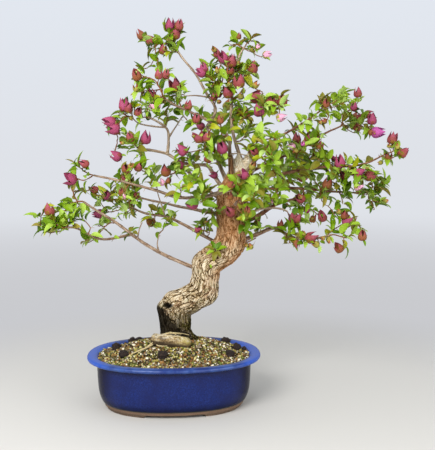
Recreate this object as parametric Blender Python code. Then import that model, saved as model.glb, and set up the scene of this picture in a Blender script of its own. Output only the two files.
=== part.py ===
# Bougainvillea bonsai in its oval glazed pot: a whole tree as an assembly of plain solids.
# Metres, +Z up. The pot's long side runs along X, and the tree is seen from the -Y side.
# Places are written in millimetres from the middle of the pot, with the table top at the height TABLE.
# At the end everything is moved so that the middle of the whole object's base is the origin.
import math

import bmesh
import bpy
from mathutils import Matrix, Vector, noise
from mathutils.bvhtree import BVHTree

MM = 0.001
GAP = 0.3 * MM  # clearance between a piece and the piece that carries or crosses it
TABLE = -10 * MM

# Pot: half widths along X at heights, from the foot up to the lip and down inside
POT_NARROWER = 40 * MM  # near the wall, the half width along Y is this much less
CORE_WIDTH = 100 * MM  # further in than this half width, the outline keeps its proportions instead
CORE_DEPTH = 0.77
OVAL_POWER = 2.27  # 2 is an ellipse, more is fuller at the corners
POT_STEPS = 28
POT_FLOOR_UNDER = -2 * MM
POT_FLOOR_INSIDE = 7 * MM
POT_FOOT = ((119, -2), (122, -10), (136.5, -10), (138.5, -1), (141.5, 2.5))
POT_WALL = ((144.5, 6), (148.6, 16), (151.7, 33), (154, 84.5))
POT_LIP = ((164, 85), (171, 87.5), (173, 91.5), (170, 94.5), (162, 95), (154, 93))
POT_INSIDE = ((148.5, 86), (146.5, 40), (140, 16), (131, 7))
FOOT_GAP_WIDTH = (108 * MM, 124 * MM)  # at its top and at the table
FOOT_GAP_HEIGHT = 6 * MM

# Soil: fills the pot to just under the lip and rises to the trunk's foot
SOIL_EDGE = ((130, 7.5), (139.3, 16.4), (145.9, 40), (147.9, 85.8), (151.5, 91))
SOIL_TOP = 110 * MM
SOIL_RINGS = (0.82, 0.6, 0.4)
SOIL_FLAT = 0.4  # share of the pot's width that lies flat under the trunk

# Trunk: centre x, y, z and half width across the view and in depth, from soil to sawn stub
TRUNK = (
    (6, 45, 110.3, 35, 33),
    (2, 45, 126, 31, 30),
    (0, 45, 150, 33, 31),
    (5, 44, 176, 33, 31),
    (30, 42, 193, 31, 30),
    (58, 40, 210, 31, 30),
    (66, 38, 239, 28, 29),
    (69, 36, 265, 30, 29),
    (96, 34, 287, 31, 30),
    (117, 31, 314, 31, 30),
    (117, 28, 350, 29, 28),
    (114, 25, 385, 28, 27),
    (119, 22, 418, 27, 26),
    (132, 19, 449, 24, 24),
    (141, 18, 472, 22, 22),
    (142, 18, 489, 20, 20),
)
TRUNK_SIDES = 12
TRUNK_RINGS = 30
TRUNK_LEAN = Vector((0.34, 0, 0.94))
TRUNK_TILT_SHARE = 0.55  # how far each section leans towards the trunk's overall direction
FLARE_TOES = ((0, 0.32), (2.3, 0.14), (4.2, 0.12))  # direction in radians and reach of each root toe
FLARE_HEIGHT = 26 * MM
TOE_WIDTH = 0.42  # radians
TRUNK_RIDGE = 0.05  # three low ridges wind up the trunk
RIDGE_TWIST = 9.0  # radians from foot to top

LIMB_SIDES = 6
LIMB_STEP = 30 * MM  # about one ring for this much length

# Limbs: what carries each, radius at its start and its end, then the places that it passes
LIMBS = {
    "surface_root": ("trunk", 11, 12, ((-46, 0, 116), (-24, -5, 117), (8, -7, 117), (36, -5, 116))),
    "peeled_stub": ("trunk", 5.5, 4, ((119, 8, 424), (115, -5, 438), (113, -7, 465), (111, -7, 491))),
    "limb_left_low": (
        "trunk", 4, 2,
        ((56, 38, 254), (-10, 30, 282), (-58, 15, 312), (-110, -5, 353), (-142, -18, 376), (-174, -28, 399)),
    ),
    "shoot_left_low": (
        "limb_left_low", 2.6, 1.6,
        ((-84, 7, 331), (-119, -22, 326), (-147, -45, 330), (-182, -60, 350), (-203, -68, 353)),
    ),
    "limb_left_middle": (
        "trunk", 3.6, 2,
        ((100, 36, 303), (47, 42, 333), (15, 48, 350), (-13, 54, 363), (-53, 66, 368), (-87, 78, 380)),
    ),
    "limb_left_high": (
        "trunk", 4.2, 1.8,
        ((108, 4, 424), (83, -22, 413), (47, -38, 406), (3, -42, 408), (-38, -44, 422), (-85, -50, 435),
         (-150, -66, 450)),
    ),
    "arch_foot": ("trunk", 4.6, 4, ((108, 34, 412), (91, 46, 435), (76, 46, 460))),
    "arch_top": (
        "arch_foot", 3.8, 2.6,
        ((77, 46, 461), (66, 44, 469), (40, 38, 469), (13, 32, 475), (-15, 28, 492), (-62, 25, 500)),
    ),
    "arch_riser": ("arch_top", 3, 2, ((-12, 28, 490), (-9, 27, 515), (-13, 16, 542), (-48, 2, 562))),
    "arch_strut": ("trunk", 3.4, 3, ((100, 40, 396), (60, 47, 427), (36, 48, 450), (16, 44, 470))),
    "limb_upper_left": (
        "peeled_stub", 3.2, 1.8,
        ((111, -7, 489), (105, -24, 525), (72, -47, 549), (37, -68, 565), (1, -80, 581), (-16, -86, 591)),
    ),
    "leader_low": (
        "trunk", 4.4, 3.4,
        ((113, 30, 425), (98, 54, 460), (87, 60, 495), (69, 61, 518), (67, 60, 541), (80, 58, 563)),
    ),
    "leader_top": (
        "leader_low", 3.2, 1.8,
        ((80, 58, 561), (86, 55, 584), (65, 52, 619), (46, 50, 652), (17, 48, 686), (1, 45, 712)),
    ),
    "limb_centre": (
        "trunk", 3.6, 1.6,
        ((136, 16, 478), (118, 12, 534), (116, 15, 587), (122, 20, 650), (131, 20, 684), (144, 20, 705)),
    ),
    "limb_crown_right": ("trunk", 3.6, 2, ((148, 14, 478), (159, 8, 514), (172, -3, 546))),
    "limb_right_upper": (
        "trunk", 4.2, 1.8,
        ((146, 14, 458), (171, -8, 492), (199, -24, 518), (240, -42, 544), (282, -56, 573)),
    ),
    "limb_right_second": (
        "trunk", 4, 1.8,
        ((142, 22, 450), (208, 44, 478), (262, 58, 501), (314, 70, 533), (357, 79, 552)),
    ),
    "limb_far_right": (
        "trunk", 4.2, 1.8,
        ((142, 16, 436), (214, 0, 452), (287, -6, 464), (367, -12, 468), (415, -18, 488)),
    ),
    "limb_right_middle": (
        "trunk", 4, 1.8,
        ((132, 24, 413), (221, 38, 422), (300, 50, 417), (354, 56, 412), (408, 60, 410)),
    ),
    "limb_right_low": ("trunk", 5.2, 2.4, ((130, 26, 345), (178, 14, 376), (207, 11, 392), (252, 14, 402))),
    "limb_right_lowest": (
        "trunk", 4.6, 1.8,
        ((124, 28, 308), (174, 14, 331), (204, 0, 343), (231, -20, 327), (270, -46, 326), (306, -62, 335)),
    ),
    "limb_back_left": ("trunk", 4.2, 2, ((108, 36, 366), (31, 105, 377), (-72, 166, 396))),
    "limb_back_right": ("trunk", 4.2, 2, ((128, 32, 384), (190, 108, 415), (244, 168, 446))),
    "limb_back_centre": ("trunk", 4, 2, ((134, 26, 446), (122, 105, 490), (108, 158, 530))),
    "limb_front": ("trunk", 3.6, 2, ((117, 12, 382), (121, -45, 397), (126, -84, 406))),
    "limb_front_right": ("trunk", 3.6, 2, ((136, 14, 442), (148, -22, 464), (160, -50, 480))),
}
LIMB_SWELLING = {"surface_root": 1.25}  # how much fatter the middle of a limb is than its ends

# Leaf masses: centre x, y, z and half width across the view, in depth and up
MASSES = {
    "leaves_far_left": (-223, -72, 360, 48, 46, 42),
    "leaves_left_tip": (-184, -32, 402, 37, 40, 29),
    "leaves_left_skirt": (-133, -48, 341, 40, 44, 34),
    "leaves_left_middle": (-108, 82, 388, 62, 54, 40),
    "leaves_left_inner": (-26, 58, 350, 39, 40, 34),
    "leaves_left_upper_tip": (-174, -72, 454, 40, 42, 34),
    "leaves_left_upper": (-70, -50, 441, 46, 46, 33),
    "leaves_left_shoulder": (-88, 25, 502, 45, 50, 34),
    "leaves_left_crown": (-85, 0, 567, 61, 58, 38),
    "leaves_upper_left": (-29, -88, 603, 50, 50, 41),
    "leaves_top_left": (-39, 62, 686, 37, 48, 50),
    "leaves_top": (-2, 45, 729, 36, 40, 39),
    "leaves_top_right_tip": (150, 20, 709, 50, 42, 27),
    "leaves_centre_top": (114, 18, 638, 65, 62, 48),
    "leaves_centre": (56, -38, 522, 57, 50, 46),
    "leaves_right_crown": (181, -8, 574, 60, 60, 48),
    "leaves_centre_right": (168, -72, 490, 51, 48, 41),
    "leaves_right_heart": (256, 14, 478, 58, 62, 53),
    "leaves_right_upper": (295, -60, 587, 44, 46, 34),
    "leaves_right_shoulder": (376, 84, 557, 42, 50, 44),
    "leaves_far_right": (430, -20, 495, 37, 44, 39),
    "leaves_right_middle": (370, -14, 457, 43, 46, 29),
    "leaves_right_tip": (422, 62, 409, 44, 46, 37),
    "leaves_right_low": (304, 42, 389, 72, 58, 49),
    "leaves_right_skirt": (234, -22, 328, 35, 42, 32),
    "leaves_lowest_right": (327, -72, 346, 49, 50, 43),
    "leaves_front_left": (46, -72, 421, 43, 46, 41),
    "leaves_front_right": (129, -108, 414, 36, 42, 48),
    "leaves_back_left": (-103, 185, 401, 61, 56, 45),
    "leaves_back_centre": (100, 180, 551, 58, 56, 53),
    "leaves_back_right": (272, 190, 457, 62, 56, 53),
}
MASS_AROUND = 10
MASS_DOWN = 7
NEIGHBOUR_REACH = 1.6  # masses further apart than this share of their two reaches can't meet
LUMPS = ((1.5, 0.42), (3.4, 0.2))  # how often and how far the leaves bulge out of an even mass
BARK = (0.52, 0.42, 0.31)
PALE_BARK = (0.46, 0.38, 0.31)
DEAD_WOOD = (0.30, 0.22, 0.16)
LEAF = (0.22, 0.38, 0.07)
GLAZE = (0.03, 0.05, 0.24)
GRIT = (0.33, 0.29, 0.17)


def clear_scene():
    for old in list(bpy.data.objects):
        bpy.data.objects.remove(old, do_unlink=True)


def finish(name, colour, roughness):
    surface = bpy.data.materials.new(name + "_finish")
    surface.use_nodes = True
    shader = surface.node_tree.nodes["Principled BSDF"]
    shader.inputs["Base Color"].default_value = (*colour, 1)
    shader.inputs["Roughness"].default_value = roughness
    return surface


def add_object(name, shape, colour, roughness):
    """A node of this name from a bmesh, which is used up."""
    mesh = bpy.data.meshes.new(name)
    bmesh.ops.recalc_face_normals(shape, faces=shape.faces)
    shape.to_mesh(mesh)
    shape.free()
    node = bpy.data.objects.new(name, mesh)
    bpy.context.scene.collection.objects.link(node)
    mesh.materials.append(finish(name, colour, roughness))
    return node


def add_cutter(shape):
    return add_object("cutter", shape, BARK, 0.9)


def skin(rings, first_middle=None, last_middle=None):
    """One closed shape over rings of points, with flat ends or ends that meet in a middle point."""
    shape = bmesh.new()
    loops = [[shape.verts.new(point) for point in ring] for ring in rings]
    for below, above in zip(loops, loops[1:]):
        for i in range(len(below)):
            j = (i + 1) % len(below)
            shape.faces.new((below[i], below[j], above[j]))
            shape.faces.new((below[i], above[j], above[i]))
    for loop, middle in ((loops[0], first_middle), (loops[-1], last_middle)):
        if middle is None:
            shape.faces.new(loop)
            continue
        tip = shape.verts.new(middle)
        for i in range(len(loop)):
            shape.faces.new((loop[i], loop[(i + 1) % len(loop)], tip))
    return shape


def through(points, share):
    """The place at a share of the way along a smooth curve through the points."""
    last = len(points) - 1
    at = share * last
    i = min(int(at), last - 1)
    t = at - i
    a, b, c, d = (points[min(max(i + k, 0), last)] for k in (-1, 0, 1, 2))
    return tuple(
        0.5 * (2 * q + (r - p) * t + (2 * p - 5 * q + 4 * r - s) * t * t + (3 * q - p - 3 * r + s) * t ** 3)
        for p, q, r, s in zip(a, b, c, d)
    )


def oval(half_width, height, middle=(0, 0)):
    """A ring of points on the pot's outline at this half width, in metres."""
    ring = []
    for i in range(POT_STEPS):
        turn = 2 * math.pi * i / POT_STEPS
        across, deep = (math.copysign(abs(v) ** (2 / OVAL_POWER), v) for v in (math.cos(turn), math.sin(turn)))
        half_depth = half_width * CORE_DEPTH if half_width < CORE_WIDTH else half_width - POT_NARROWER
        ring.append(Vector((middle[0] + half_width * across, middle[1] + half_depth * deep, height)))
    return ring


def cut(target, cutters):
    """Takes the cutters' space out of an object and keeps the largest body that is left."""
    for cutter in cutters:
        step = target.modifiers.new("cut", "BOOLEAN")
        step.object = cutter
        step.operation = "DIFFERENCE"
        step.solver = "EXACT"
        cutter.hide_render = True
        cutter.display_type = "WIRE"
    evaluated = target.evaluated_get(bpy.context.evaluated_depsgraph_get())
    shape = bmesh.new()
    shape.from_mesh(evaluated.to_mesh())
    target.modifiers.clear()
    bmesh.ops.remove_doubles(shape, verts=shape.verts, dist=0.01 * MM)
    keep_largest(shape)
    shape.to_mesh(target.data)
    shape.free()
    for cutter in cutters:
        bpy.data.objects.remove(cutter, do_unlink=True)


def keep_largest(shape):
    """Deletes every loose body but the one with the most faces."""
    left = set(shape.verts)
    bodies = []
    while left:
        body = set()
        edge = [left.pop()]
        while edge:
            vert = edge.pop()
            body.add(vert)
            near = {link.other_vert(vert) for link in vert.link_edges} & left
            left -= near
            edge.extend(near)
        bodies.append(body)
    bodies.sort(key=len)
    for body in bodies[:-1]:
        bmesh.ops.delete(shape, geom=list(body), context="VERTS")


def pot():
    rows = POT_FOOT + POT_WALL + POT_LIP + POT_INSIDE
    rings = [oval(width * MM, height * MM) for width, height in rows]
    node = add_object(
        "pot", skin(rings, (0, 0, POT_FLOOR_UNDER), (0, 0, POT_FLOOR_INSIDE)), GLAZE, 0.2
    )
    top, bottom = (width / 2 for width in FOOT_GAP_WIDTH)
    reach = POT_LIP[2][0] * MM
    right = ((bottom, TABLE - MM), (bottom, TABLE), (top, TABLE + FOOT_GAP_HEIGHT))
    section = right + tuple((-x, z) for x, z in reversed(right))
    ends = [[Vector((x, side * reach, z)) for x, z in section] for side in (-1, 1)]
    cut(node, [add_cutter(skin(ends))])
    return node


def soil():
    rings = [oval(width * MM, height * MM) for width, height in SOIL_EDGE]
    edge_width, edge_height = (v * MM for v in SOIL_EDGE[-1])
    foot_x, foot_y = (v * MM for v in TRUNK[0][:2])
    for share in SOIL_RINGS:
        rise = (1 - share) / (1 - SOIL_FLAT)
        height = edge_height + (SOIL_TOP - edge_height) * rise * rise * (3 - 2 * rise)
        rings.append(oval(edge_width * share, height, (foot_x * (1 - share), foot_y * (1 - share))))
    under = (0, 0, SOIL_EDGE[0][1] * MM)
    return add_object("soil", skin(rings, under, (foot_x, foot_y, SOIL_TOP)), GRIT, 0.95)


def trunk_shape(grow=0.0):
    rings = []
    rows = [tuple(v * MM for v in row) for row in TRUNK]
    for i in range(TRUNK_RINGS):
        share = i / (TRUNK_RINGS - 1)
        x, y, z, wide, deep = through(rows, share)
        before, after = (through(rows, min(max(share + step, 0), 1)) for step in (-0.01, 0.01))
        ahead = Vector(after[:3]) - Vector(before[:3])
        facing = ahead.normalized().lerp(TRUNK_LEAN.normalized(), TRUNK_TILT_SHARE)
        level = min(max(1 - (z - rows[0][2]) / FLARE_HEIGHT, 0), 1)
        facing = facing.normalized().lerp(Vector((0, 0, 1)), level).normalized()
        depth_axis = facing.cross(Vector((1, 0, 0))).normalized()
        width_axis = depth_axis.cross(facing).normalized()
        ring = []
        for k in range(TRUNK_SIDES):
            turn = 2 * math.pi * k / TRUNK_SIDES
            toe = sum(
                reach * math.exp(-((math.remainder(turn - way, math.tau) / TOE_WIDTH) ** 2))
                for way, reach in FLARE_TOES
            )
            ridge = 1 + TRUNK_RIDGE * math.sin(3 * turn + RIDGE_TWIST * share) + toe * level
            around = width_axis * math.cos(turn) * (wide * ridge + grow)
            around += depth_axis * math.sin(turn) * (deep * ridge + grow)
            ring.append(Vector((x, y, z)) + around)
        rings.append(ring)
    if grow:
        rings[0] = [point - Vector((0, 0, grow)) for point in rings[0]]
        rings[-1] = [point + Vector((0, 0, grow)) for point in rings[-1]]
    return skin(rings)


def limb_shape(name, grow=0.0):
    carrier, start, end, places = LIMBS[name]
    places = [tuple(v * MM for v in place) for place in places]
    length = sum(math.dist(a, b) for a, b in zip(places, places[1:]))
    count = max(round(length / LIMB_STEP), 3) + 1
    path = [Vector(through(places, i / (count - 1))) for i in range(count)]
    swelling = LIMB_SWELLING.get(name, 1)
    rings = []
    side = None
    for i, place in enumerate(path):
        ahead = (path[min(i + 1, count - 1)] - path[max(i - 1, 0)]).normalized()
        if side is None:
            side = ahead.orthogonal().normalized()
        side = (side - ahead * side.dot(ahead)).normalized()
        other = ahead.cross(side)
        share = i / (count - 1)
        radius = (start + (end - start) * share) * MM + grow
        radius *= 1 + (swelling - 1) * math.sin(math.pi * share)
        if i in (0, count - 1):
            place = place + ahead * (grow if i else -grow)
        rings.append([
            place + (side * math.cos(turn) + other * math.sin(turn)) * radius
            for turn in (math.tau * k / LIMB_SIDES for k in range(LIMB_SIDES))
        ])
    return skin(rings)


def carrier_shape(name, grow):
    return trunk_shape(grow) if name == "trunk" else limb_shape(name, grow)


def mass_points(name):
    """Rings of points of one uneven mass about its own middle, filling its named size."""
    seed = Vector((sum(map(ord, name)) % 97, len(name), 0))
    half = [v * MM for v in MASSES[name][3:]]
    rings = []
    for i in range(MASS_DOWN + 1):
        down = math.pi * i / MASS_DOWN
        ring = []
        for k in range(MASS_AROUND if 0 < i < MASS_DOWN else 1):
            turn = math.tau * (k + 0.5 * (i % 2)) / MASS_AROUND
            out = math.sin(down)
            way = Vector((out * math.cos(turn), out * math.sin(turn), math.cos(down)))
            bulge = 1 + sum(far * noise.noise(way * often + seed) for often, far in LUMPS)
            ring.append(way * bulge)
        rings.append(ring)
    everything = [point for ring in rings for point in ring]
    for axis in range(3):
        low = min(point[axis] for point in everything)
        high = max(point[axis] for point in everything)
        for point in everything:
            point[axis] *= half[axis] * 2 / (high - low)
    return rings


def reach_towards(name, way):
    """How far a mass reaches from its middle in a direction, as its smooth ellipsoid."""
    half = [v * MM for v in MASSES[name][3:]]
    return 1 / math.sqrt(sum((way[axis] / half[axis]) ** 2 for axis in range(3)))


def keep_apart(name, rings):
    """Draws a mass in, towards its middle, where it would reach into its neighbours."""
    middle = Vector(MASSES[name][:3]) * MM
    for other in MASSES:
        if other == name:
            continue
        way = Vector(MASSES[other][:3]) * MM - middle
        distance = way.length
        way.normalize()
        mine, theirs = reach_towards(name, way), reach_towards(other, way)
        if distance > NEIGHBOUR_REACH * (mine + theirs):
            continue
        wall = distance * mine / (mine + theirs) - GAP / 2
        for ring in rings:
            for point in ring:
                if point.dot(way) > wall:
                    point *= wall / point.dot(way)
    return rings


def mass(name):
    rings = keep_apart(name, mass_points(name))
    middle = Vector(MASSES[name][:3]) * MM
    rings = [[middle + point for point in ring] for ring in rings]
    return add_object(name, skin(rings[1:-1], rings[0][0], rings[-1][0]), LEAF, 0.6)


def crossing(node, shape):
    """Whether a bmesh and an object's mesh meet."""
    tree = BVHTree.FromBMesh(shape)
    mesh = bmesh.new()
    mesh.from_mesh(node.data)
    found = bool(tree.overlap(BVHTree.FromBMesh(mesh)))
    mesh.free()
    return found


def build_tree():
    nodes = [add_object("trunk", trunk_shape(), BARK, 0.9)]
    for name, (carrier, *_) in LIMBS.items():
        colour = DEAD_WOOD if name == "peeled_stub" else PALE_BARK
        node = add_object(name, limb_shape(name), colour, 0.85)
        cut(node, [add_cutter(carrier_shape(carrier, GAP))])
        nodes.append(node)
    for name in MASSES:
        node = mass(name)
        cutters = []
        for other in ("trunk", *LIMBS):
            shape = carrier_shape(other, GAP)
            if crossing(node, shape):
                cutters.append(add_cutter(shape))
            else:
                shape.free()
        if cutters:
            cut(node, cutters)
        nodes.append(node)
    return nodes


def centre_base(nodes):
    """Moves everything so that the middle of the whole base is the origin."""
    corners = [vert.co for node in nodes for vert in node.data.vertices]
    low = [min(corner[axis] for corner in corners) for axis in range(3)]
    high = [max(corner[axis] for corner in corners) for axis in range(3)]
    move = Matrix.Translation((-(low[0] + high[0]) / 2, -(low[1] + high[1]) / 2, -low[2]))
    for node in nodes:
        node.data.transform(move)


def main():
    clear_scene()
    ground = soil()
    cut(ground, [add_cutter(limb_shape("surface_root", GAP))])
    centre_base([pot(), ground, *build_tree()])


main()
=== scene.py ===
# Bougainvillea bonsai in an oval pot: the looks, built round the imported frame
import collections
import functools
import math
import random

import bmesh
import bpy
import numpy as np
from mathutils import Matrix, Vector, noise
from mathutils.bvhtree import BVHTree


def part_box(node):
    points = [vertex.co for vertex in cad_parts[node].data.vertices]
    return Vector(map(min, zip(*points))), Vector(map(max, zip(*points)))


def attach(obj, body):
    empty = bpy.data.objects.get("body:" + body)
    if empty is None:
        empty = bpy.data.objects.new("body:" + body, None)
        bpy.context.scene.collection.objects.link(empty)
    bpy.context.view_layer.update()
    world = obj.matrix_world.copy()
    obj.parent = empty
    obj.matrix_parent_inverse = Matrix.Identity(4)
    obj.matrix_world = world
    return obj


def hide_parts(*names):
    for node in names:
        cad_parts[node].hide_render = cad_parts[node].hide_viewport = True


noise.seed_set(1)  # noise_vector takes its offsets from the clock otherwise, and differs in each run
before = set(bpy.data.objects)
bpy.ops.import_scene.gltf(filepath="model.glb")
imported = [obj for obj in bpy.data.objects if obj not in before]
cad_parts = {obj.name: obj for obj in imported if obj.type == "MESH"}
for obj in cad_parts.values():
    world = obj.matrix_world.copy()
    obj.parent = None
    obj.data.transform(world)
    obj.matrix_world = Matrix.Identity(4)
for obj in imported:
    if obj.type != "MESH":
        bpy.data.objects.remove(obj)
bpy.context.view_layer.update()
print("frame loaded:", len(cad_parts), "nodes")

# Places are in millimetres from the middle of the pot: x to the right, y away from the viewer and z up
mm = 0.001
level = 10  # z is counted from this far above the table
up = Vector((0, 0, 1))
potLow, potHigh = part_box("pot")
potMiddle = (potLow + potHigh) / 2


def place(spot):
    return Vector((potMiddle.x + spot[0] * mm, potMiddle.y + spot[1] * mm, (spot[2] + level) * mm))


def unplace(corner):
    return Vector(((corner[0] - potMiddle.x) / mm, (corner[1] - potMiddle.y) / mm, corner[2] / mm - level))


def ease(low, high, value):  # 0 at low, 1 at high, smooth between
    share = min(max((value - low) / (high - low), 0), 1)
    return share * share * (3 - 2 * share)


def blend(first, second, share):
    return first + (second - first) * share


def curveAt(points, share):  # a smooth curve through the points, as the frame's limbs follow
    last = len(points) - 1
    at = share * last
    i = min(int(at), last - 1)
    t = at - i
    a, b, c, d = (points[min(max(i + k, 0), last)] for k in (-1, 0, 1, 2))
    return tuple(
        0.5 * (2 * q + (r - p) * t + (2 * p - 5 * q + 4 * r - s) * t * t + (3 * q - p - 3 * r + s) * t ** 3)
        for p, q, r, s in zip(a, b, c, d)
    )


# Finishes
def shade(code):  # a colour as it shows, such as "a8327a", made linear
    parts = [int(code[i:i + 2], 16) / 255 for i in (0, 2, 4)]
    return tuple(p / 12.92 if p <= 0.04045 else ((p + 0.055) / 1.055) ** 2.4 for p in parts)


class Reading:  # a socket that takes part in sums
    def __init__(self, finish, socket):
        self.finish = finish
        self.socket = socket

    def __add__(self, other):
        return self.finish.sum("ADD", self, other)

    def __radd__(self, other):
        return self.finish.sum("ADD", other, self)

    def __sub__(self, other):
        return self.finish.sum("SUBTRACT", self, other)

    def __rsub__(self, other):
        return self.finish.sum("SUBTRACT", other, self)

    def __mul__(self, other):
        return self.finish.sum("MULTIPLY", self, other)

    def __rmul__(self, other):
        return self.finish.sum("MULTIPLY", other, self)


class Finish:  # a material, and the nodes that vary it
    def __init__(self, name, colour="808080", rough=0.5, **more):
        self.material = bpy.data.materials.new(name)
        self.material.use_nodes = True
        self.tree = self.material.node_tree
        self.shader = self.tree.nodes["Principled BSDF"]
        self.shader.inputs["Base Color"].default_value = (*shade(colour), 1)
        self.shader.inputs["Roughness"].default_value = rough
        for key, value in more.items():
            self.shader.inputs[key.replace("_", " ")].default_value = value

    def node(self, kind, settings=None, inputs=None, outlet=0):
        made = self.tree.nodes.new(kind)
        for key, value in (settings or {}).items():
            if key == "stops":
                self.setStops(made.color_ramp, value)
            else:
                setattr(made, key, value)
        for key, value in (inputs or {}).items():
            self.feed(made.inputs[key], value)
        return Reading(self, made.outputs[outlet])

    def setStops(self, ramp, stops):
        while len(ramp.elements) < len(stops):
            ramp.elements.new(1)
        for element, (position, code) in zip(ramp.elements, stops):
            element.position = position
            element.color = (*shade(code), 1)

    def feed(self, socket, value):
        if isinstance(value, Reading):
            self.tree.links.new(value.socket, socket)
        elif isinstance(value, str):
            socket.default_value = (*shade(value), 1)
        else:
            socket.default_value = value

    def sum(self, operation, first, second):
        return self.node("ShaderNodeMath", {"operation": operation}, {0: first, 1: second})

    def places(self):
        return self.node("ShaderNodeTexCoord", outlet=3)

    def attribute(self, name):
        return self.node("ShaderNodeAttribute", {"attribute_name": name}, outlet=2)

    def height(self):
        return self.node("ShaderNodeSeparateXYZ", None, {0: self.places()}, 2) - level * mm

    def across(self):  # how far to either side of the pot's middle
        wide = self.node("ShaderNodeSeparateXYZ", None, {0: self.places()}, 0) - potMiddle.x
        return self.node("ShaderNodeMath", {"operation": "ABSOLUTE"}, {0: wide})

    def speckle(self, size, detail=3, spread=0.5):  # noise with patches of about this size, in millimetres
        inputs = {"Vector": self.places(), "Scale": 1 / (size * mm), "Detail": detail, "Roughness": spread}
        return self.node("ShaderNodeTexNoise", None, inputs)

    def alongGrain(self, wide, long):  # places on the wood, for marks this wide and long in millimetres
        grain = self.node("ShaderNodeAttribute", {"attribute_name": "grain"}, outlet=1)
        stretch = (1 / wide, 1 / wide, 1 / long)
        return self.node("ShaderNodeVectorMath", {"operation": "MULTIPLY"}, {0: grain, 1: stretch})

    def strands(self, wide, long):
        inputs = {"Vector": self.alongGrain(wide, long), "Scale": 1, "Detail": 4, "Roughness": 0.6}
        return self.node("ShaderNodeTexNoise", None, inputs)

    def cracks(self, wide, long, gap):  # 0 in a crack, 1 on the plates between
        straight = self.alongGrain(wide, long)
        bend = self.node("ShaderNodeTexNoise", None, {"Vector": straight, "Scale": 1.7, "Detail": 3}, 1)
        bent = self.node("ShaderNodeVectorMath", {"operation": "ADD"}, {0: straight, 1: bend})
        inputs = {"Vector": bent, "Scale": 1}
        edge = self.node("ShaderNodeTexVoronoi", {"feature": "DISTANCE_TO_EDGE"}, inputs, "Distance")
        return self.slide(edge, 0.01, gap)

    def slide(self, value, low, high):  # 0 at low, 1 at high
        inputs = {"Value": value, "From Min": low, "From Max": high}
        return self.node("ShaderNodeMapRange", {"interpolation_type": "SMOOTHSTEP"}, inputs)

    def ramp(self, value, *stops):
        return self.node("ShaderNodeValToRGB", {"stops": stops}, {0: value})

    def mix(self, share, first, second):
        return self.node("ShaderNodeMix", {"data_type": "RGBA"}, {0: share, 6: first, 7: second}, 2)

    def paint(self, colour=None, rough=None):
        if colour is not None:
            self.feed(self.shader.inputs["Base Color"], colour)
        if rough is not None:
            self.feed(self.shader.inputs["Roughness"], rough)

    def cover(self, other, share):  # another shader over this one
        inputs = {0: share, 1: Reading(self, self.shader.outputs[0]), 2: other}
        both = self.node("ShaderNodeMixShader", None, inputs)
        self.tree.links.new(both.socket, self.tree.nodes["Material Output"].inputs["Surface"])

    def bump(self, height, deep, strength=1.0):  # deep in millimetres
        inputs = {"Height": height, "Distance": deep * mm, "Strength": strength}
        self.feed(self.shader.inputs["Normal"], self.node("ShaderNodeBump", None, inputs))


# Meshes
def addPiece(name, mesh, finishes, replaced=()):
    piece = bpy.data.objects.new(name, mesh)
    bpy.context.scene.collection.objects.link(piece)
    for finish in finishes:
        mesh.materials.append(finish.material)
    mesh.polygons.foreach_set("use_smooth", np.ones(len(mesh.polygons), bool))
    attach(piece, "root")
    if replaced:
        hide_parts(*replaced)
    return piece


def fromShape(name, shape):  # a bmesh, used up, as a mesh
    mesh = bpy.data.meshes.new(name)
    shape.to_mesh(mesh)
    shape.free()
    return mesh


def sleeve(around, along, spot, values):
    # a closed sleeve: spot(turn, row) gives each corner's place, its place along the grain and its values
    shape = bmesh.new()
    bmesh.ops.create_grid(shape, x_segments=around, y_segments=along, size=0.5)
    grain = shape.verts.layers.float_vector.new("grain")
    layers = [shape.verts.layers.float.new(value) for value in values]
    for vert in shape.verts:
        turn = (vert.co.x + 0.5) * math.tau
        row = round((vert.co.y + 0.5) * along)
        found = spot(turn, row)
        vert.co = place(found[0])
        vert[grain] = found[1]
        for layer, value in zip(layers, found[2:]):
            vert[layer] = value
    seam = [vert for vert in shape.verts if vert.is_boundary]
    bmesh.ops.remove_doubles(shape, verts=seam, dist=0.01 * mm)
    ends = [edge for edge in shape.edges if edge.is_boundary]
    if ends:
        bmesh.ops.holes_fill(shape, edges=ends)
    bmesh.ops.recalc_face_normals(shape, faces=shape.faces)
    return shape


def asTemplate(shape):  # corners, faces and finish numbers of a small bmesh, used up, for copying
    shape.verts.index_update()
    points = np.array([vert.co for vert in shape.verts])
    faces = np.array([[vert.index for vert in face.verts] for face in shape.faces])
    numbers = np.array([face.material_index for face in shape.faces])
    shape.free()
    return points, faces, numbers


def joinCopies(name, templates, copies, finishes, replaced=()):
    # each copy is a template number, its turn and size, its place and its palette
    points, faces, numbers = [], [], []
    count = 0
    for which, turn, spot, palette in copies:
        corners, sides, parts = templates[which]
        points.append(corners @ np.array(turn).T + np.array(spot))
        faces.append(sides + count)
        numbers.append(np.array(palette)[parts])
        count += len(corners)
    mesh = bpy.data.meshes.new(name)
    mesh.from_pydata(np.concatenate(points), [], np.concatenate(faces))
    mesh.polygons.foreach_set("material_index", np.concatenate(numbers).astype(np.int32))
    addPiece(name, mesh, finishes, replaced)


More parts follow.
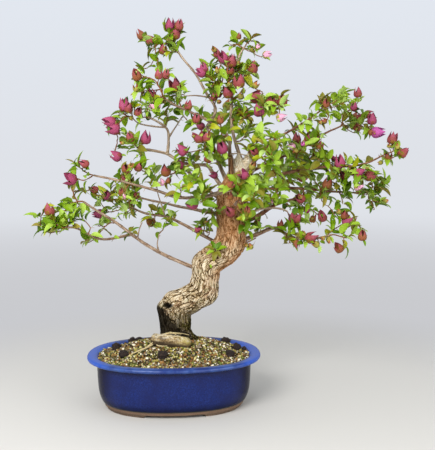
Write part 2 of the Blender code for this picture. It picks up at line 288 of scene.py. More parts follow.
def stems(name, routes, finishes, roundness=1):  # round stems along (places, radii, finish number)
    line = bpy.data.curves.new(name, "CURVE")
    line.dimensions = "3D"
    line.bevel_depth = 1
    line.bevel_resolution = roundness
    line.use_fill_caps = True
    for finish in finishes:
        line.materials.append(finish.material)
    for spots, radii, number in routes:
        spline = line.splines.new("POLY")
        spline.points.add(len(spots) - 1)
        spline.material_index = number
        for point, spot, radius in zip(spline.points, spots, radii):
            point.co = (*place(spot), 1)
            point.radius = radius * mm
    drawn = bpy.data.objects.new(name + "_line", line)
    bpy.context.scene.collection.objects.link(drawn)
    mesh = bpy.data.meshes.new_from_object(drawn.evaluated_get(bpy.context.evaluated_depsgraph_get()))
    bpy.data.objects.remove(drawn)
    mesh.materials.clear()
    addPiece(name, mesh, finishes)


def frameAt(ahead, roll):  # an axis along ahead and two across it
    side = ahead.orthogonal().normalized()
    side = Matrix.Rotation(roll, 3, ahead) @ side
    return side, ahead.cross(side)


# Pot
pot = {
    "foot": ((119, -2), (121, -8.8), (122.6, -10), (134.2, -10), (135.4, -9), (135.8, -5.8), (138, -5),
             (139.4, -3.4), (141, 2)),
    "wall": ((142.8, 3.4), (144.4, 5.6), (146.4, 9.6), (148.6, 16), (150.6, 24), (151.7, 33), (152.6, 46),
             (153.3, 62), (154, 82)),
    "lip": ((156, 84.4), (164, 85.2), (169.6, 86), (172.2, 87.8), (173, 90.4), (172.2, 92.8), (169, 94.6),
            (162, 95), (157, 94.2), (153, 92)),
    "inside": ((149, 86), (146.5, 40), (140, 16), (131, 7)),
    "floor": -2,
    "floorInside": 7,
    "floorRing": 100,  # half width of the flat middle of the floor
    "axisGap": 0.01,
    "roundSteps": 4,  # points between the ones above, on the glazed rows
    "narrower": 40,  # the half width along y is this much less
    "coreWidth": 100,  # further in, the outline keeps its proportions
    "coreDepth": 0.77,
    "ovalPower": 2.27,
    "steps": 176,
    "gapWidths": (108, 124),  # of the gap between the feet, at its top and at the table
    "gapHeight": 6,
}


def toOval(halfWidth, turn):
    halfDepth = halfWidth - pot["narrower"]
    if halfWidth < pot["coreWidth"]:
        halfDepth = halfWidth * pot["coreDepth"]
    sides = (math.cos(turn), math.sin(turn))
    across, deep = (math.copysign(abs(side) ** (2 / pot["ovalPower"]), side) for side in sides)
    return halfWidth * across, halfDepth * deep


def rounded(points, steps):  # more points, on a smooth curve through these
    last = steps * (len(points) - 1)
    return [curveAt(points, i / last) for i in range(last + 1)]


potTones = {  # heights where a tone starts and where it is full
    "dark": (26, 6),
    "shaded": (74, 88),
    "lip": (84.4, 85.6),
    "beadFrom": (88.6, 90.6),  # the painted highlight along the bead lies between these two
    "beadTo": (93.6, 92.2),
    "underLipFrom": (80.5, 83),  # and the brown glaze break with painted shadow under the lip between these
    "underLipTo": (86, 85),
    "clay": (6.2, 4),
    "paleClay": (-3.8, -1.6),
    "ends": (112, 146),  # for the ends, sideways from the pot's middle, where the wall is painted dark and the lip lighter, as reflections
}


def glazeFinish():
    glaze = Finish("glaze_deep_blue", "101f6e", 0.2, Specular_IOR_Level=0.04, Coat_Roughness=0.16)
    height = glaze.height()

    def band(name, wander=None):  # with an uneven edge where wander is given
        low, high = potTones[name]
        return glaze.slide(height if wander is None else height + wander, low * mm, high * mm)

    mottle = glaze.ramp(glaze.speckle(2.6, 5, 0.65), (0.3, "0a1442"), (0.52, "0e1f5a"), (0.75, "163078"))
    cloudy = glaze.mix(glaze.slide(glaze.speckle(42, 2), 0.42, 0.66) * 0.6, mottle, "0e174a")
    low = band("dark", glaze.speckle(9) * (9 * mm))
    dark = glaze.mix(low * 0.85, cloudy, "0a0c1e")
    shaded = glaze.mix(band("shaded", glaze.speckle(9) * (6 * mm)) * 0.6, dark, "14122c")
    lip = band("lip")
    ends = glaze.slide(glaze.across(), *(side * mm for side in potTones["ends"]))
    # the lip: a lighter blue than the wall, as painted light on its top, and lighter still towards the
    # ends, as a painted reflection
    rimTone = glaze.mix(glaze.slide(glaze.speckle(24, 2), 0.3, 0.7), "1a2e6c", "304c88")
    rim = glaze.mix(lip, shaded, glaze.mix(ends, rimTone, "204cac"))
    # painted highlight: a thin pale line along the lip's outer bead
    bead = band("beadFrom") * band("beadTo")
    wearAndPaintedLight = glaze.mix(bead * glaze.slide(glaze.speckle(14, 3, 0.6), 0.3, 0.6) * 0.12, rim, "8a9cd0")
    # painted reflection: the wall turns dark purple towards its ends
    wearAndPaintedLight = glaze.mix(ends * (1 - lip) * 0.9, wearAndPaintedLight, "0e0a1c")
    glaze.feed(glaze.shader.inputs["Coat Weight"], (1 - ends * (1 - lip)) * (1 - low * 0.8) * 0.48)
    # a dark brown band under the lip: partly the glaze breaking there, partly painted shadow
    glazeBreakAndShadow = glaze.mix(band("underLipFrom") * band("underLipTo") * 0.75, wearAndPaintedLight, "1c1512")
    edge = band("clay", glaze.speckle(6) * (1.6 * mm))
    glaze.paint(glaze.mix(edge * 0.8, glazeBreakAndShadow, "4d4a3c"), 0.16 + glaze.speckle(12) * 0.14)
    glaze.bump(glaze.speckle(14, 2) + glaze.speckle(1.4, 2) * 0.12, 0.5, 0.5)
    return glaze


def clayFinish():
    clay = Finish("bare_clay", "7a5f4b", 0.8, Specular_IOR_Level=0.3)
    wearAndPaintedLight = clay.ramp(clay.speckle(2.2, 6, 0.7), (0.3, "4c3c30"), (0.5, "6f5b4a"), (0.72, "927c6a"))
    dirty = clay.slide(clay.speckle(20, 3), 0.45, 0.65)
    dull = clay.mix(dirty * 0.35, wearAndPaintedLight, "4c3d32")
    band = clay.slide(clay.height(), *(height * mm for height in potTones["paleClay"]))
    clay.paint(clay.mix(band * 0.5, dull, "8a6c56"), 0.75 + clay.speckle(6) * 0.2)
    clay.bump(clay.speckle(1.1, 4), 0.35, 0.7)
    return clay


def makePot():
    foot, wall, lip, hollow = (pot[key] for key in ("foot", "wall", "lip", "inside"))
    ring, axisGap, steps = pot["floorRing"], pot["axisGap"], pot["roundSteps"]
    clayRows = [(axisGap, pot["floor"]), (ring, pot["floor"])] + list(foot)
    glazeRows = rounded(wall, steps) + rounded((wall[-1],) + lip + (hollow[0],), steps)[1:]
    inner = list(hollow[1:]) + [(ring, pot["floorInside"]), (axisGap, pot["floorInside"])]
    rows = clayRows + glazeRows + inner
    shape = bmesh.new()
    verts = [shape.verts.new((width * mm, 0, height * mm)) for width, height in rows]
    edges = [shape.edges.new(pair) for pair in zip(verts, verts[1:])]
    bmesh.ops.spin(shape, geom=verts + edges, angle=math.tau, steps=pot["steps"], axis=up, cent=(0, 0, 0),
                   use_merge=True)
    bmesh.ops.remove_doubles(shape, verts=shape.verts, dist=0.05 * mm)
    bmesh.ops.recalc_face_normals(shape, faces=shape.faces)
    clayTop = pot["foot"][-1][1] * mm
    for face in shape.faces:
        middle = face.calc_center_median()
        inward = face.normal.xy.dot(middle.xy) < 0 or middle.xy.length < hollow[-1][0] * mm
        face.material_index = 1 if middle.z < clayTop or (inward and middle.z < hollow[0][1] * mm) else 0
    for vert in shape.verts:
        x, y = toOval(vert.co.xy.length / mm, math.atan2(vert.co.y, vert.co.x))
        vert.co = place((x, y, vert.co.z / mm))
    finishes = [glazeFinish(), clayFinish()]
    openFeet(addPiece("pot_body", fromShape("pot_body", shape), finishes, ["pot"]))


def openFeet(piece):  # cuts the gap between the feet, front to back
    shape = bmesh.new()
    bmesh.ops.create_cube(shape, size=1)
    top, bottom = pot["gapWidths"]
    reach = 2 * max(width for width, _ in pot["lip"])
    for vert in shape.verts:
        wide = top if vert.co.z > 0 else bottom
        high = pot["gapHeight"] - level if vert.co.z > 0 else -1 - level
        vert.co = place((math.copysign(wide / 2, vert.co.x), math.copysign(reach / 2, vert.co.y), high))
    cutter = bpy.data.objects.new("gap_cutter", fromShape("gap_cutter", shape))
    bpy.context.scene.collection.objects.link(cutter)
    cut = piece.modifiers.new("gap", "BOOLEAN")
    cut.object = cutter
    cut.operation = "DIFFERENCE"
    cut.solver = "EXACT"
    done = bpy.data.meshes.new_from_object(piece.evaluated_get(bpy.context.evaluated_depsgraph_get()))
    piece.modifiers.clear()
    piece.data = done
    bpy.data.objects.remove(cutter)


# Soil: the frame's own solid under loose grains
grit = {
    "seed": 5,
    "spacing": 3.4,
    "size": (1.6, 2.6),  # half size of a grain
    "mixture": (0.6, 0.8, 1, 1, 1.3),  # and how much smaller or larger it may be
    "long": (0.8, 1.4),
    "flat": (0.6, 0.95),
    "jitter": 0.35,
    "lifts": (-1.8, 0.2),  # of the bed of grains and of the loose ones on it
    "uneven": 0.7,
    "edge": 151,
    "earth": {"rings": 26, "around": 96, "edge": 150, "middle": 0.015, "footEdge": 144, "foot": 40},
    "below": 3.4,  # the earth is this much lower than the frame's solid, and the grains fill it up
    "tints": (("ece4cc", 7), ("cabf82", 10), ("a2954a", 12), ("6a7230", 9), ("4a4820", 13), ("9c7440", 7),
              ("80562e", 6), ("62492a", 12), ("2c2008", 13), ("968a74", 8), ("6c6250", 6)),
    "looseTop": 800,
    "greens": (1, 2, 3, 4),  # tints that gather in mossy patches
    "browns": (5, 6, 7),  # and between them
    "patch": 24,
    "patchStrength": 2.4,
    "rayFrom": 400,  # rays down onto the soil start this high
    "missed": 90,  # and the soil is this high where one misses
}


def hitFromAbove(tree, x, y):
    spot = tree.ray_cast(place((x, y, grit["rayFrom"])), -up)[0]
    return None if spot is None else unplace(spot)


def onSoil(tree, halfWidth, turn):
    x, y = toOval(halfWidth, turn)
    spot = hitFromAbove(tree, x, y)
    return spot if spot else Vector((x, y, grit["missed"]))


def makeEarth(tree):
    earth = Finish("earth", "4a3c28", 0.95, Specular_IOR_Level=0.2)
    earth.paint(earth.ramp(earth.speckle(3, 5, 0.7), (0.3, "1e180f"), (0.6, "4a3d22"), (0.8, "6e6236")))
    earth.bump(earth.speckle(2.5, 4), 1.5)
    form = grit["earth"]
    rings = form["rings"]

    def spot(turn, row):
        if row == 0:
            x, y = toOval(form["footEdge"], turn)
            found = Vector((x, y, form["foot"]))
        else:
            found = onSoil(tree, form["edge"] * max(1 - (row - 1) / (rings - 1), form["middle"]), turn)
            found.z -= grit["below"]
        return found, (0, 0, 0)

    shape = sleeve(form["around"], rings, spot, ())
    addPiece("earth", fromShape("earth", shape), [earth], ["soil"])


def makeSoil():
    dice = random.Random(grit["seed"])
    tree = BVHTree.FromObject(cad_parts["soil"], bpy.context.evaluated_depsgraph_get())
    makeEarth(tree)
    shape = bmesh.new()
    bmesh.ops.create_icosphere(shape, subdivisions=1, radius=1)
    grain = asTemplate(shape)
    finishes = [Finish("grain_" + code, code, 0.85, Specular_IOR_Level=0.3) for code, _ in grit["tints"]]
    weights = [weight for _, weight in grit["tints"]]
    edge, spacing, jitter, uneven = grit["edge"], grit["spacing"], grit["jitter"], grit["uneven"]
    bedLift, looseLift = grit["lifts"]
    spots = []
    rows = int(2 * edge / spacing) + 1
    for i in range(rows):
        for k in range(rows):
            x = -edge + (i + 0.5 * (k % 2) + dice.uniform(-jitter, jitter)) * spacing
            y = -edge + (k + dice.uniform(-jitter, jitter)) * spacing
            spots.append((x, y, bedLift))
    for _ in range(grit["looseTop"]):
        spots.append((dice.uniform(-edge, edge), dice.uniform(-edge, edge), looseLift))
    copies = []
    power = pot["ovalPower"]
    for x, y, lift in spots:
        reach = (abs(x) / edge) ** power + (abs(y) / (edge - pot["narrower"])) ** power
        spot = hitFromAbove(tree, x, y) if reach < 1 else None
        if spot is None:
            continue
        size = dice.uniform(*grit["size"]) * dice.choice(grit["mixture"])
        roll = dice.uniform(0, math.tau)
        axis = Vector((dice.random(), dice.random(), 1)).normalized()
        sides = (size * dice.uniform(*grit["long"]), size, size * dice.uniform(*grit["flat"]))
        turn = Matrix.Rotation(roll, 3, axis) @ Matrix.Diagonal(sides) * mm
        mossy = noise.noise(spot / grit["patch"]) * grit["patchStrength"]
        local = weights
        if abs(mossy) < 1:
            local = [
                weight * (1 + mossy * ((i in grit["greens"]) - (i in grit["browns"])))
                for i, weight in enumerate(weights)
            ]
        number = dice.choices(range(len(finishes)), local)[0]
        spot.z += lift + dice.uniform(-uneven, uneven)
        copies.append((0, turn, place(spot), [number]))
    joinCopies("soil_grains", [grain], copies, finishes)
    return tree


# What lies on the soil
pellets = {
    "seed": 12,
    "spots": ((-118, 27, 1), (-88, 87, 1), (-75, 95, 0.9), (-99, -37, 1), (-23, -61, 1), (110, 82, 1),
              (127, 10, 1), (109, -40, 1), (143, 16, 0.55)),  # x, y and size
    "size": (9.4, 8.6, 8.2),
    "lumps": ((1.6, 0.35), (4.5, 0.16)),  # how fine and how high
    "raised": 3.4,  # the middle above the soil
}


def makePellets(tree):
    dice = random.Random(pellets["seed"])
    crumb = Finish("feed_pellet", "2c2019", 0.95)
    dust = crumb.speckle(2.2, 5, 0.7)
    crumb.paint(crumb.ramp(dust, (0.34, "0f0a08"), (0.56, "281b15"), (0.78, "59402f")))
    crumb.bump(crumb.speckle(2, 4), 1, 0.9)
    whole = bmesh.new()
    for x, y, size in pellets["spots"]:
        made = bmesh.ops.create_icosphere(whole, subdivisions=4, radius=1)["verts"]
        spot = hitFromAbove(tree, x, y)
        turn = Matrix.Rotation(dice.uniform(0, math.tau), 3, up)
        offset = Vector((x, y, 0))
        for vert in made:
            rough = sum(noise.noise(vert.co * fine + offset) * high for fine, high in pellets["lumps"])
            local = Vector(a * b for a, b in zip(vert.co * (1 + rough), pellets["size"]))
            vert.co = place(spot + turn @ local * size + up * pellets["raised"] * size)
    addPiece("feed_pellets", fromShape("feed_pellets", whole), [crumb])


rootlets = (  # places, and radius at the start and the end
    (((-38, -2, 119), (-47, -14, 109.5), (-60, -28, 104), (-72, -35, 101.5), (-84, -41, 98)), 2, 0.9),
    (((-36, -6, 122), (-52, -18, 111), (-58, -24, 106), (-70, -44, 100)), 1.1, 0.6),
    (((-40, -3, 117), (-34, -16, 112), (-26, -21, 110), (-14, -22, 109)), 1.2, 0.6),
    (((-44, 4, 122), (-30, -3, 130.5), (-8, -6, 133), (14, -6, 131.5)), 0.8, 0.5),
    (((-30, 6, 126), (-12, -1, 133.5), (10, -3, 133), (30, 0, 128)), 0.8, 0.5),
    (((-46, 2, 118), (-55, -6, 121), (-52, -12, 125)), 0.7, 0.4),
    (((-20, 10, 124), (-8, 2, 134), (4, -10, 131)), 0.7, 0.4),
    (((-34, -10, 124), (-16, -14, 131), (2, -16, 129), (12, -14, 129.5)), 0.7, 0.4),
)
rootletLift = 2.4  # above the soil's solid, so that they lie on the grains
rootletSteps = 24


def makeRootlets(tree):
    skin = Finish("thin_root", "cdb988", 0.8)
    routes = []
    for places, start, end in rootlets:
        shares = [i / rootletSteps for i in range(rootletSteps + 1)]
        spots = [Vector(curveAt(places, share)) for share in shares]
        for spot in spots:
            spot.z = max(spot.z, hitFromAbove(tree, spot.x, spot.y).z + rootletLift)
        routes.append((spots, [blend(start, end, share) for share in shares], 0))
    stems("rootlets", routes, [skin])


# Trunk
trunk = {
    "base": 110.3,
    "places": (  # centre x, y, z, half width across the view and half width in depth
        (9, 45, 98, 37, 34), (6, 45, 110.3, 35, 33), (2, 45, 126, 31, 30), (0, 45, 150, 33, 31),
        (5, 44, 176, 33, 31), (30, 42, 193, 31, 30), (58, 40, 210, 31, 30), (66, 38, 239, 28, 29),
        (69, 36, 265, 30, 29), (96, 34, 287, 31, 30), (117, 31, 314, 31, 30), (117, 28, 350, 29, 28),
        (114, 25, 385, 28, 27), (119, 22, 418, 27, 26), (132, 19, 449, 24, 24), (141, 18, 472, 22, 22),
        (142, 18, 489, 20, 20),
    ),
    "lean": Vector((0.34, 0, 0.94)),
    "tiltShare": 0.55,
    "toes": ((0, 0.32), (2.3, 0.14), (4.2, 0.12)),  # direction and reach of each root toe
    "toeWidth": 0.42,
    "flareHeight": 26,
    "ridge": 0.05,
    "twist": 9.0,
    "around": 168,
    "rings": 500,
    "sawRings": 14,
    "barkTwist": 0.004,  # radians for each millimetre of height
    "barkRadius": 31,  # the bark is worked out on a round trunk of this radius
    "barkWander": ((30, 7), (10, 1.5)),  # how long the bends of its lines are, and how far they go
    "fissure": 2.5,  # depth in millimetres
    "upperFissure": 0.36,  # share of that depth near the top
    "plates": (6.6, 34),  # width and length of the ridges between fissures
    "flakes": (4.2, 13),
    "strands": (2.6, 26),
    "frayed": 0.07,
    "walls": (0.02, 0.2),  # of a fissure, where they start and end
    "mean": 0.4,  # the share of a plate's height that lies on the frame's surface
    "bulge": 2.4,
    "sawRough": 2.2,
    "calm": 34,  # size of the patches with shallow fissures
    "knot": (-14, 14, 185),
    "knotReach": Vector((14, 20, 6.5)),
    "knotRim": (1.6, 1.15, 0.3),  # height, place and width of its raised edge
    "knotHollow": (3.5, 0.75),  # depth and width
    "lumps": ((-31, 40, 181, 12, 5), (-10, 36, 208, 17, 5), (4, 30, 203, 14, 2)),  # place, reach and height
    "stainTop": (-28, 191, 1.05),  # the black starts at this x and z, and falls so much for each millimetre
    "lobes": ((130, 5, 11), (149, 7, 16)),  # of the sawn top: x, half width and height
    "notch": 13,  # depth between the lobes
    "zones": {  # heights where each one starts and where it is full
        "upper": (300, 400),  # with shallow bark
        "rugged": (245, 215),
        "lobed": (452, 489),
        "stained": (196, 176),
        "mossy": (190, 142),
        "shadedFlank": (222, 262),  # the right side, painted in the warm, darker tone as shade
        "warm": (262, 345),
        "sawn": (448, 456),
    },
    "ragged": 9,  # how far the edges of the zones wander: of the sawn top,
    "blot": 10,  # of the stain and the moss in patches,
    "fleck": 12,  # and of the stain in flecks
}


def trunkSections():
    rows, rings = trunk["places"], trunk["rings"]
    sections = []
    for i in range(rings + 1):
        share = i / rings
        x, y, z, wide, deep = curveAt(rows, share)
        before, after = (Vector(curveAt(rows, min(max(share + step, 0), 1))[:3]) for step in (-0.01, 0.01))
        facing = (after - before).normalized().lerp(trunk["lean"].normalized(), trunk["tiltShare"])
        atFoot = min(max(1 - (z - trunk["base"]) / trunk["flareHeight"], 0), 1)
        facing = facing.normalized().lerp(up, atFoot).normalized()
        depthAxis = facing.cross(Vector((1, 0, 0))).normalized()
        sections.append((Vector((x, y, z)), depthAxis.cross(facing), depthAxis, wide, deep, atFoot, share))
    return sections


def trunkWalk(sections):  # how far along the bark each ring is from the foot, for each direction around
    turns = np.arange(trunk["around"]) * math.tau / trunk["around"]
    rings = [
        np.array(middle) + np.outer(np.cos(turns) * wide, across) + np.outer(np.sin(turns) * deep, depth)
        for middle, across, depth, wide, deep, _, _ in sections
    ]
    steps = [np.linalg.norm(after - before, axis=1) for before, after in zip(rings, rings[1:])]
    return np.cumsum([np.zeros(len(turns))] + steps, axis=0)


def plate(around, wide, long):  # (0 in a fissure and 1 on the plate, a number for the plate)
    cell = Vector((around.x / wide, around.y / wide, around.z / long))
    distances, points = noise.voronoi(cell)
    gap = distances[1] - distances[0] + trunk["frayed"] * noise.noise(around / 1.6)
    return ease(*trunk["walls"], gap), noise.cell(points[0] * 9.7)


def barkRelief(turn, length, upper, rugged):  # height in millimetres, place on the grain, ridge from 0 to 1
    radius = trunk["barkRadius"]
    around = Vector((math.cos(turn) * radius, math.sin(turn) * radius, length))
    around += sum((noise.noise_vector(around / bend) * far for bend, far in trunk["barkWander"]), Vector())
    calm = ease(-0.1, 0.45, noise.noise(around / trunk["calm"])) * (1 - rugged)
    broad, broadTint = plate(around, *trunk["plates"])
    small, smallTint = plate(around, *trunk["flakes"])
    wide, long = trunk["strands"]
    strand = noise.noise(Vector((around.x / wide, around.y / wide, around.z / long)))
    rough = noise.noise(around / 2.1)
    coarse = blend(broad * (0.8 + 0.2 * broadTint), small * (0.75 + 0.25 * smallTint), 0.2 + 0.5 * upper)
    coarse = blend(coarse, 0.72 + 0.2 * broadTint, 0.6 * calm)
    deep = trunk["fissure"] * blend(1, trunk["upperFissure"], upper)
    high = deep * (coarse - trunk["mean"]) + 0.55 * strand + 0.35 * rough
    return high, around, min(max(coarse * 0.8 + 0.22 * strand + 0.12 * rough + 0.05, 0), 1)


def sawnHeight(x):  # the two ragged lobes and the notch between them
    raised = sum(high * math.exp(-((x - middle) / half) ** 2) for middle, half, high in trunk["lobes"])
    return raised - trunk["notch"]


def trunkFinish():
    bark = Finish("bark_of_trunk", "b09a78", 0.9, Specular_IOR_Level=0.05)
    lines = bark.cracks(5.5, 28, 0.13)
    flakes = bark.cracks(3.2, 10, 0.14)
    fine = bark.strands(1.2, 9) - 0.5
    ridge = bark.attribute("ridge") * 0.62 + 0.3 + fine * 0.55
    ridge = ridge - (1 - lines) * (0.5 - bark.attribute("warm") * 0.26) - (1 - flakes) * 0.24
    pale = bark.ramp(
        ridge, (0.06, "42321c"), (0.26, "8c744e"), (0.42, "bea682"), (0.62, "d8c6a6"), (0.92, "efe4ce")
    )
    patch = bark.mix(bark.slide(bark.speckle(24, 3), 0.52, 0.68) * 0.22, pale, "b88a6c")
    grey = bark.mix(bark.slide(bark.speckle(15, 4), 0.55, 0.7) * 0.4, patch, "8b865f")
    warm = bark.ramp(
        ridge, (0.02, "50300f"), (0.24, "8e5e34"), (0.46, "ba865a"), (0.72, "d2a67a"), (0.98, "e8c69c")
    )
    # the warm tone: the bark's own colour on the upper trunk, painted shade on the right flank
    colour = bark.mix(bark.attribute("warm"), grey, warm)
    broken = ridge + (bark.speckle(3.5, 4) - 0.5) * 0.7
    black = bark.ramp(broken, (0.42, "050402"), (0.84, "120e08"), (0.99, "80704e"))
    colour = bark.mix(bark.attribute("stain"), colour, black)
    green = bark.ramp(bark.strands(2.2, 5), (0.34, "0e0c02"), (0.52, "2c280a"), (0.7, "787036"))
    colour = bark.mix(bark.attribute("moss") * bark.slide(bark.speckle(6, 3), 0.22, 0.46), colour, green)
    cut = bark.strands(1.1, 5) * 0.6 + ridge * 0.4
    sawn = bark.ramp(cut, (0.16, "9a7a4c"), (0.36, "e0c89e"), (0.6, "f8f0dc"))
    bark.paint(bark.mix(bark.attribute("sawn"), colour, sawn))
    bark.bump(lines * 0.8 + flakes * 0.4 + fine * 1.1, 0.9, 0.9)
    return bark


def makeTrunk():
    sections = trunkSections()
    walked = trunkWalk(sections)
    knot = Vector(trunk["knot"])
    rimHigh, rimPlace, rimWide = trunk["knotRim"]
    hollowDeep, hollowWide = trunk["knotHollow"]

    def zone(name, height):
        return ease(*trunk["zones"][name], height)

    def spot(turn, row):
        inward = 1 - max(row - trunk["rings"], 0) / trunk["sawRings"]
        row = min(row, trunk["rings"])
        middle, across, depth, wide, deep, atFoot, share = sections[row]
        toe = sum(
            reach * math.exp(-((math.remainder(turn - way, math.tau) / trunk["toeWidth"]) ** 2))
            for way, reach in trunk["toes"]
        )
        swell = 1 + trunk["ridge"] * math.sin(3 * turn + trunk["twist"] * share) + toe * atFoot
        flat = across * math.cos(turn) * wide + depth * math.sin(turn) * deep
        outward = flat.normalized()
        upper = zone("upper", middle.z)
        length = walked[row][round(turn / math.tau * trunk["around"]) % trunk["around"]]
        rugged = zone("rugged", middle.z)
        high, grain, ridge = barkRelief(turn + length * trunk["barkTwist"], length, upper, rugged)
        around = Vector((math.cos(turn) * 1.2, math.sin(turn) * 1.2, length / 30))
        high += trunk["bulge"] * noise.noise(around)
        found = middle + flat * swell * inward + outward * high * ease(0, 0.25, inward)
        if inward < 1:
            found.z += trunk["sawRough"] * noise.noise(found / 2.5)
        found.z += sawnHeight(found.x) * zone("lobed", middle.z)
        ring = Vector(a / b for a, b in zip(found - knot, trunk["knotReach"])).length
        rim = rimHigh * math.exp(-((ring - rimPlace) / rimWide) ** 2)
        found += outward * (rim - hollowDeep * math.exp(-(ring / hollowWide) ** 4))
        for *lump, reach, high in trunk["lumps"]:
            found += outward * high * math.exp(-((found - Vector(lump)).length / reach) ** 2)
        ragged = trunk["ragged"] * noise.noise(Vector((found.x / 9, found.y / 9, found.z / 30)))
        blot = trunk["blot"] * noise.noise(found / 12)
        fleck = trunk["fleck"] * noise.noise(found / 3.2)
        left, top, slope = trunk["stainTop"]
        black = top - slope * (found.x - left) - found.z + blot + fleck
        stain = ease(-1, 9, black) * zone("stained", found.z) * 0.96
        stain = max(stain, math.exp(-(ring / 0.92) ** 6))
        moss = zone("mossy", found.z + blot) * (1 - stain)
        # painted shade: the right side takes the darker warm tone
        shadedFlank = ease(0.1, 0.75, outward.x) * zone("shadedFlank", found.z)
        warm = max(zone("warm", found.z + 2 * blot), 0.92 * shadedFlank)
        sawn = zone("sawn", found.z + ragged)
        return found, grain, ridge, stain, moss, warm, sawn

    names = ("ridge", "stain", "moss", "warm", "sawn")
    shape = sleeve(trunk["around"], trunk["rings"] + trunk["sawRings"], spot, names)
    addPiece("trunk_bark", fromShape("trunk_bark", shape), [trunkFinish()], ["trunk"])


# Boughs: radius at the start and the end, how dark, and the places along the middle
boughs = {
    "limb_left_low": (4, 2, 0.45, ((56, 38, 254), (-10, 30, 282), (-58, 15, 312), (-110, -5, 353),
                                   (-142, -18, 376), (-174, -28, 399))),
    "shoot_left_low": (2.6, 1.6, 0.6, ((-84, 7, 331), (-119, -22, 326), (-147, -45, 330), (-182, -60, 350),
                                       (-203, -68, 353))),
    "limb_left_middle": (3.6, 2, 0.55, ((100, 36, 303), (47, 42, 333), (15, 48, 350), (-13, 54, 363),
                                        (-53, 66, 368), (-87, 78, 380))),
    "limb_left_high": (4.2, 1.8, 0.45, ((108, 4, 424), (83, -22, 413), (47, -38, 406), (3, -42, 408),
                                        (-38, -44, 422), (-85, -50, 435), (-150, -66, 450))),
    "arch_foot": (4.6, 4, 0.25, ((108, 34, 412), (91, 46, 435), (76, 46, 460))),
    "arch_top": (3.8, 2.6, 0.2, ((77, 46, 461), (66, 44, 469), (40, 38, 469), (13, 32, 475), (-15, 28, 492),
                                 (-62, 25, 500))),
    "arch_riser": (3, 2, 0.2, ((-12, 28, 490), (-9, 27, 515), (-13, 16, 542), (-48, 2, 562))),
    "arch_strut": (3.4, 3, 0.35, ((100, 40, 396), (60, 47, 427), (36, 48, 450), (16, 44, 470))),
    "limb_upper_left": (3.2, 1.8, 0.5, ((111, -7, 489), (105, -24, 525), (72, -47, 549), (37, -68, 565),
                                        (1, -80, 581), (-16, -86, 591))),
    "leader_low": (4.4, 3.4, 0.3, ((113, 30, 425), (98, 54, 460), (87, 60, 495), (69, 61, 518),
                                   (67, 60, 541), (80, 58, 563))),
    "leader_top": (3.2, 1.8, 0.3, ((80, 58, 561), (86, 55, 584), (65, 52, 619), (46, 50, 652),
                                   (17, 48, 686), (1, 45, 712))),
    "limb_centre": (3.6, 1.6, 0.3, ((136, 16, 478), (118, 12, 534), (116, 15, 587), (122, 20, 650),
                                    (131, 20, 684), (144, 20, 705))),
    "limb_crown_right": (3.2, 1.7, 0.9, ((148, 14, 478), (159, 8, 514), (172, -3, 546))),
    "limb_right_upper": (3.6, 1.5, 1.0, ((146, 14, 458), (171, -8, 492), (199, -24, 518), (240, -42, 544),
                                         (282, -56, 573))),
    "limb_right_second": (3.4, 1.5, 1.0, ((142, 22, 450), (208, 44, 478), (262, 58, 501), (314, 70, 533),
                                        (357, 79, 552))),
    "limb_far_right": (3.5, 1.4, 1.0, ((142, 16, 436), (214, 0, 452), (287, -6, 464), (367, -12, 468),
                                       (415, -18, 488))),
    "limb_right_middle": (3.4, 1.5, 1.0, ((132, 24, 413), (221, 38, 422), (300, 50, 417), (354, 56, 412),
                                        (408, 60, 410))),
    "limb_right_low": (5.2, 2.4, 1.0, ((130, 26, 345), (178, 14, 372), (207, 11, 390), (252, 14, 402))),
    "limb_right_lowest": (4.6, 1.8, 0.7, ((124, 28, 308), (174, 14, 331), (204, 0, 343), (231, -20, 327),
                                          (270, -46, 326), (306, -62, 335))),
    "limb_back_left": (4.2, 2, 0.5, ((108, 36, 366), (31, 105, 377), (-72, 166, 396))),
    "limb_back_right": (4.2, 2, 0.5, ((128, 32, 384), (190, 108, 415), (244, 168, 446))),
    "limb_back_centre": (4, 2, 0.5, ((134, 26, 446), (122, 105, 490), (108, 158, 530))),
    "limb_front": (3.6, 2, 0.5, ((117, 12, 382), (121, -45, 397), (126, -84, 406))),
    "limb_front_right": (3.6, 2, 0.5, ((136, 14, 442), (148, -22, 464), (160, -50, 480))),
}
spurs = {  # small ones with no solid in the frame
    "broken_spur": (3.4, 2.8, 0.05, ((118, 2, 421), (106, -8, 418), (86, -11, 411))),
    "upright_far": (1.5, 0.9, 0.5, ((-72, 8, 323), (-69, 4, 338), (-62, 2, 356))),
    "upright_near": (1.5, 0.9, 0.4, ((-30, 24, 295), (-33, 20, 312), (-29, 18, 331))),
    "spur_middle": (1.7, 1.1, 0.3, ((-18, 54, 364), (-24, 50, 386), (-32, 46, 412))),
    "riser_left": (1.7, 1.1, 0.3, ((-14, 15, 543), (-45, 8, 546), (-67, 4, 550), (-77, 2, 558))),
    "riser_right": (1.7, 1, 0.3, ((-9, 24, 523), (6, 18, 546), (20, 14, 566))),
    "leader_left": (1.6, 1, 0.4, ((72, 52, 606), (48, 44, 608), (21, 40, 607))),
    "leader_right": (1.7, 1, 0.4, ((84, 56, 572), (86, 48, 598), (97, 42, 628))),
    "pale_cross": (1.5, 1.1, 0.0, ((112, -10, 490), (130, -15, 491), (155, -12, 483))),
    "stub_right_low": (1.9, 1.1, 0.8, ((136, 22, 309), (150, 16, 314), (166, 12, 322))),
    "stub_right_short": (1.6, 1.1, 0.8, ((140, 20, 314), (152, 12, 309), (160, 8, 308))),
    "pale_side": (2.4, 1.7, 0.1, ((132, 10, 366), (152, -10, 374), (171, -14, 382), (194, -16, 384),
                                  (213, -16, 382), (225, -14, 377))),
}
boughGrain = {
    "sides": 14,
    "step": 2.2,
    "joint": 27,  # from each to the next
    "jointSwell": 0.16,
    "jointLength": 2.6,
    "flare": (0.35, 7),  # how much thicker the start is, and for how long
    "furrow": 0.28,
    "wander": 1.1,
    "steady": (14, 10),  # both ends keep their places for so long
    "endCap": 0.55,
}


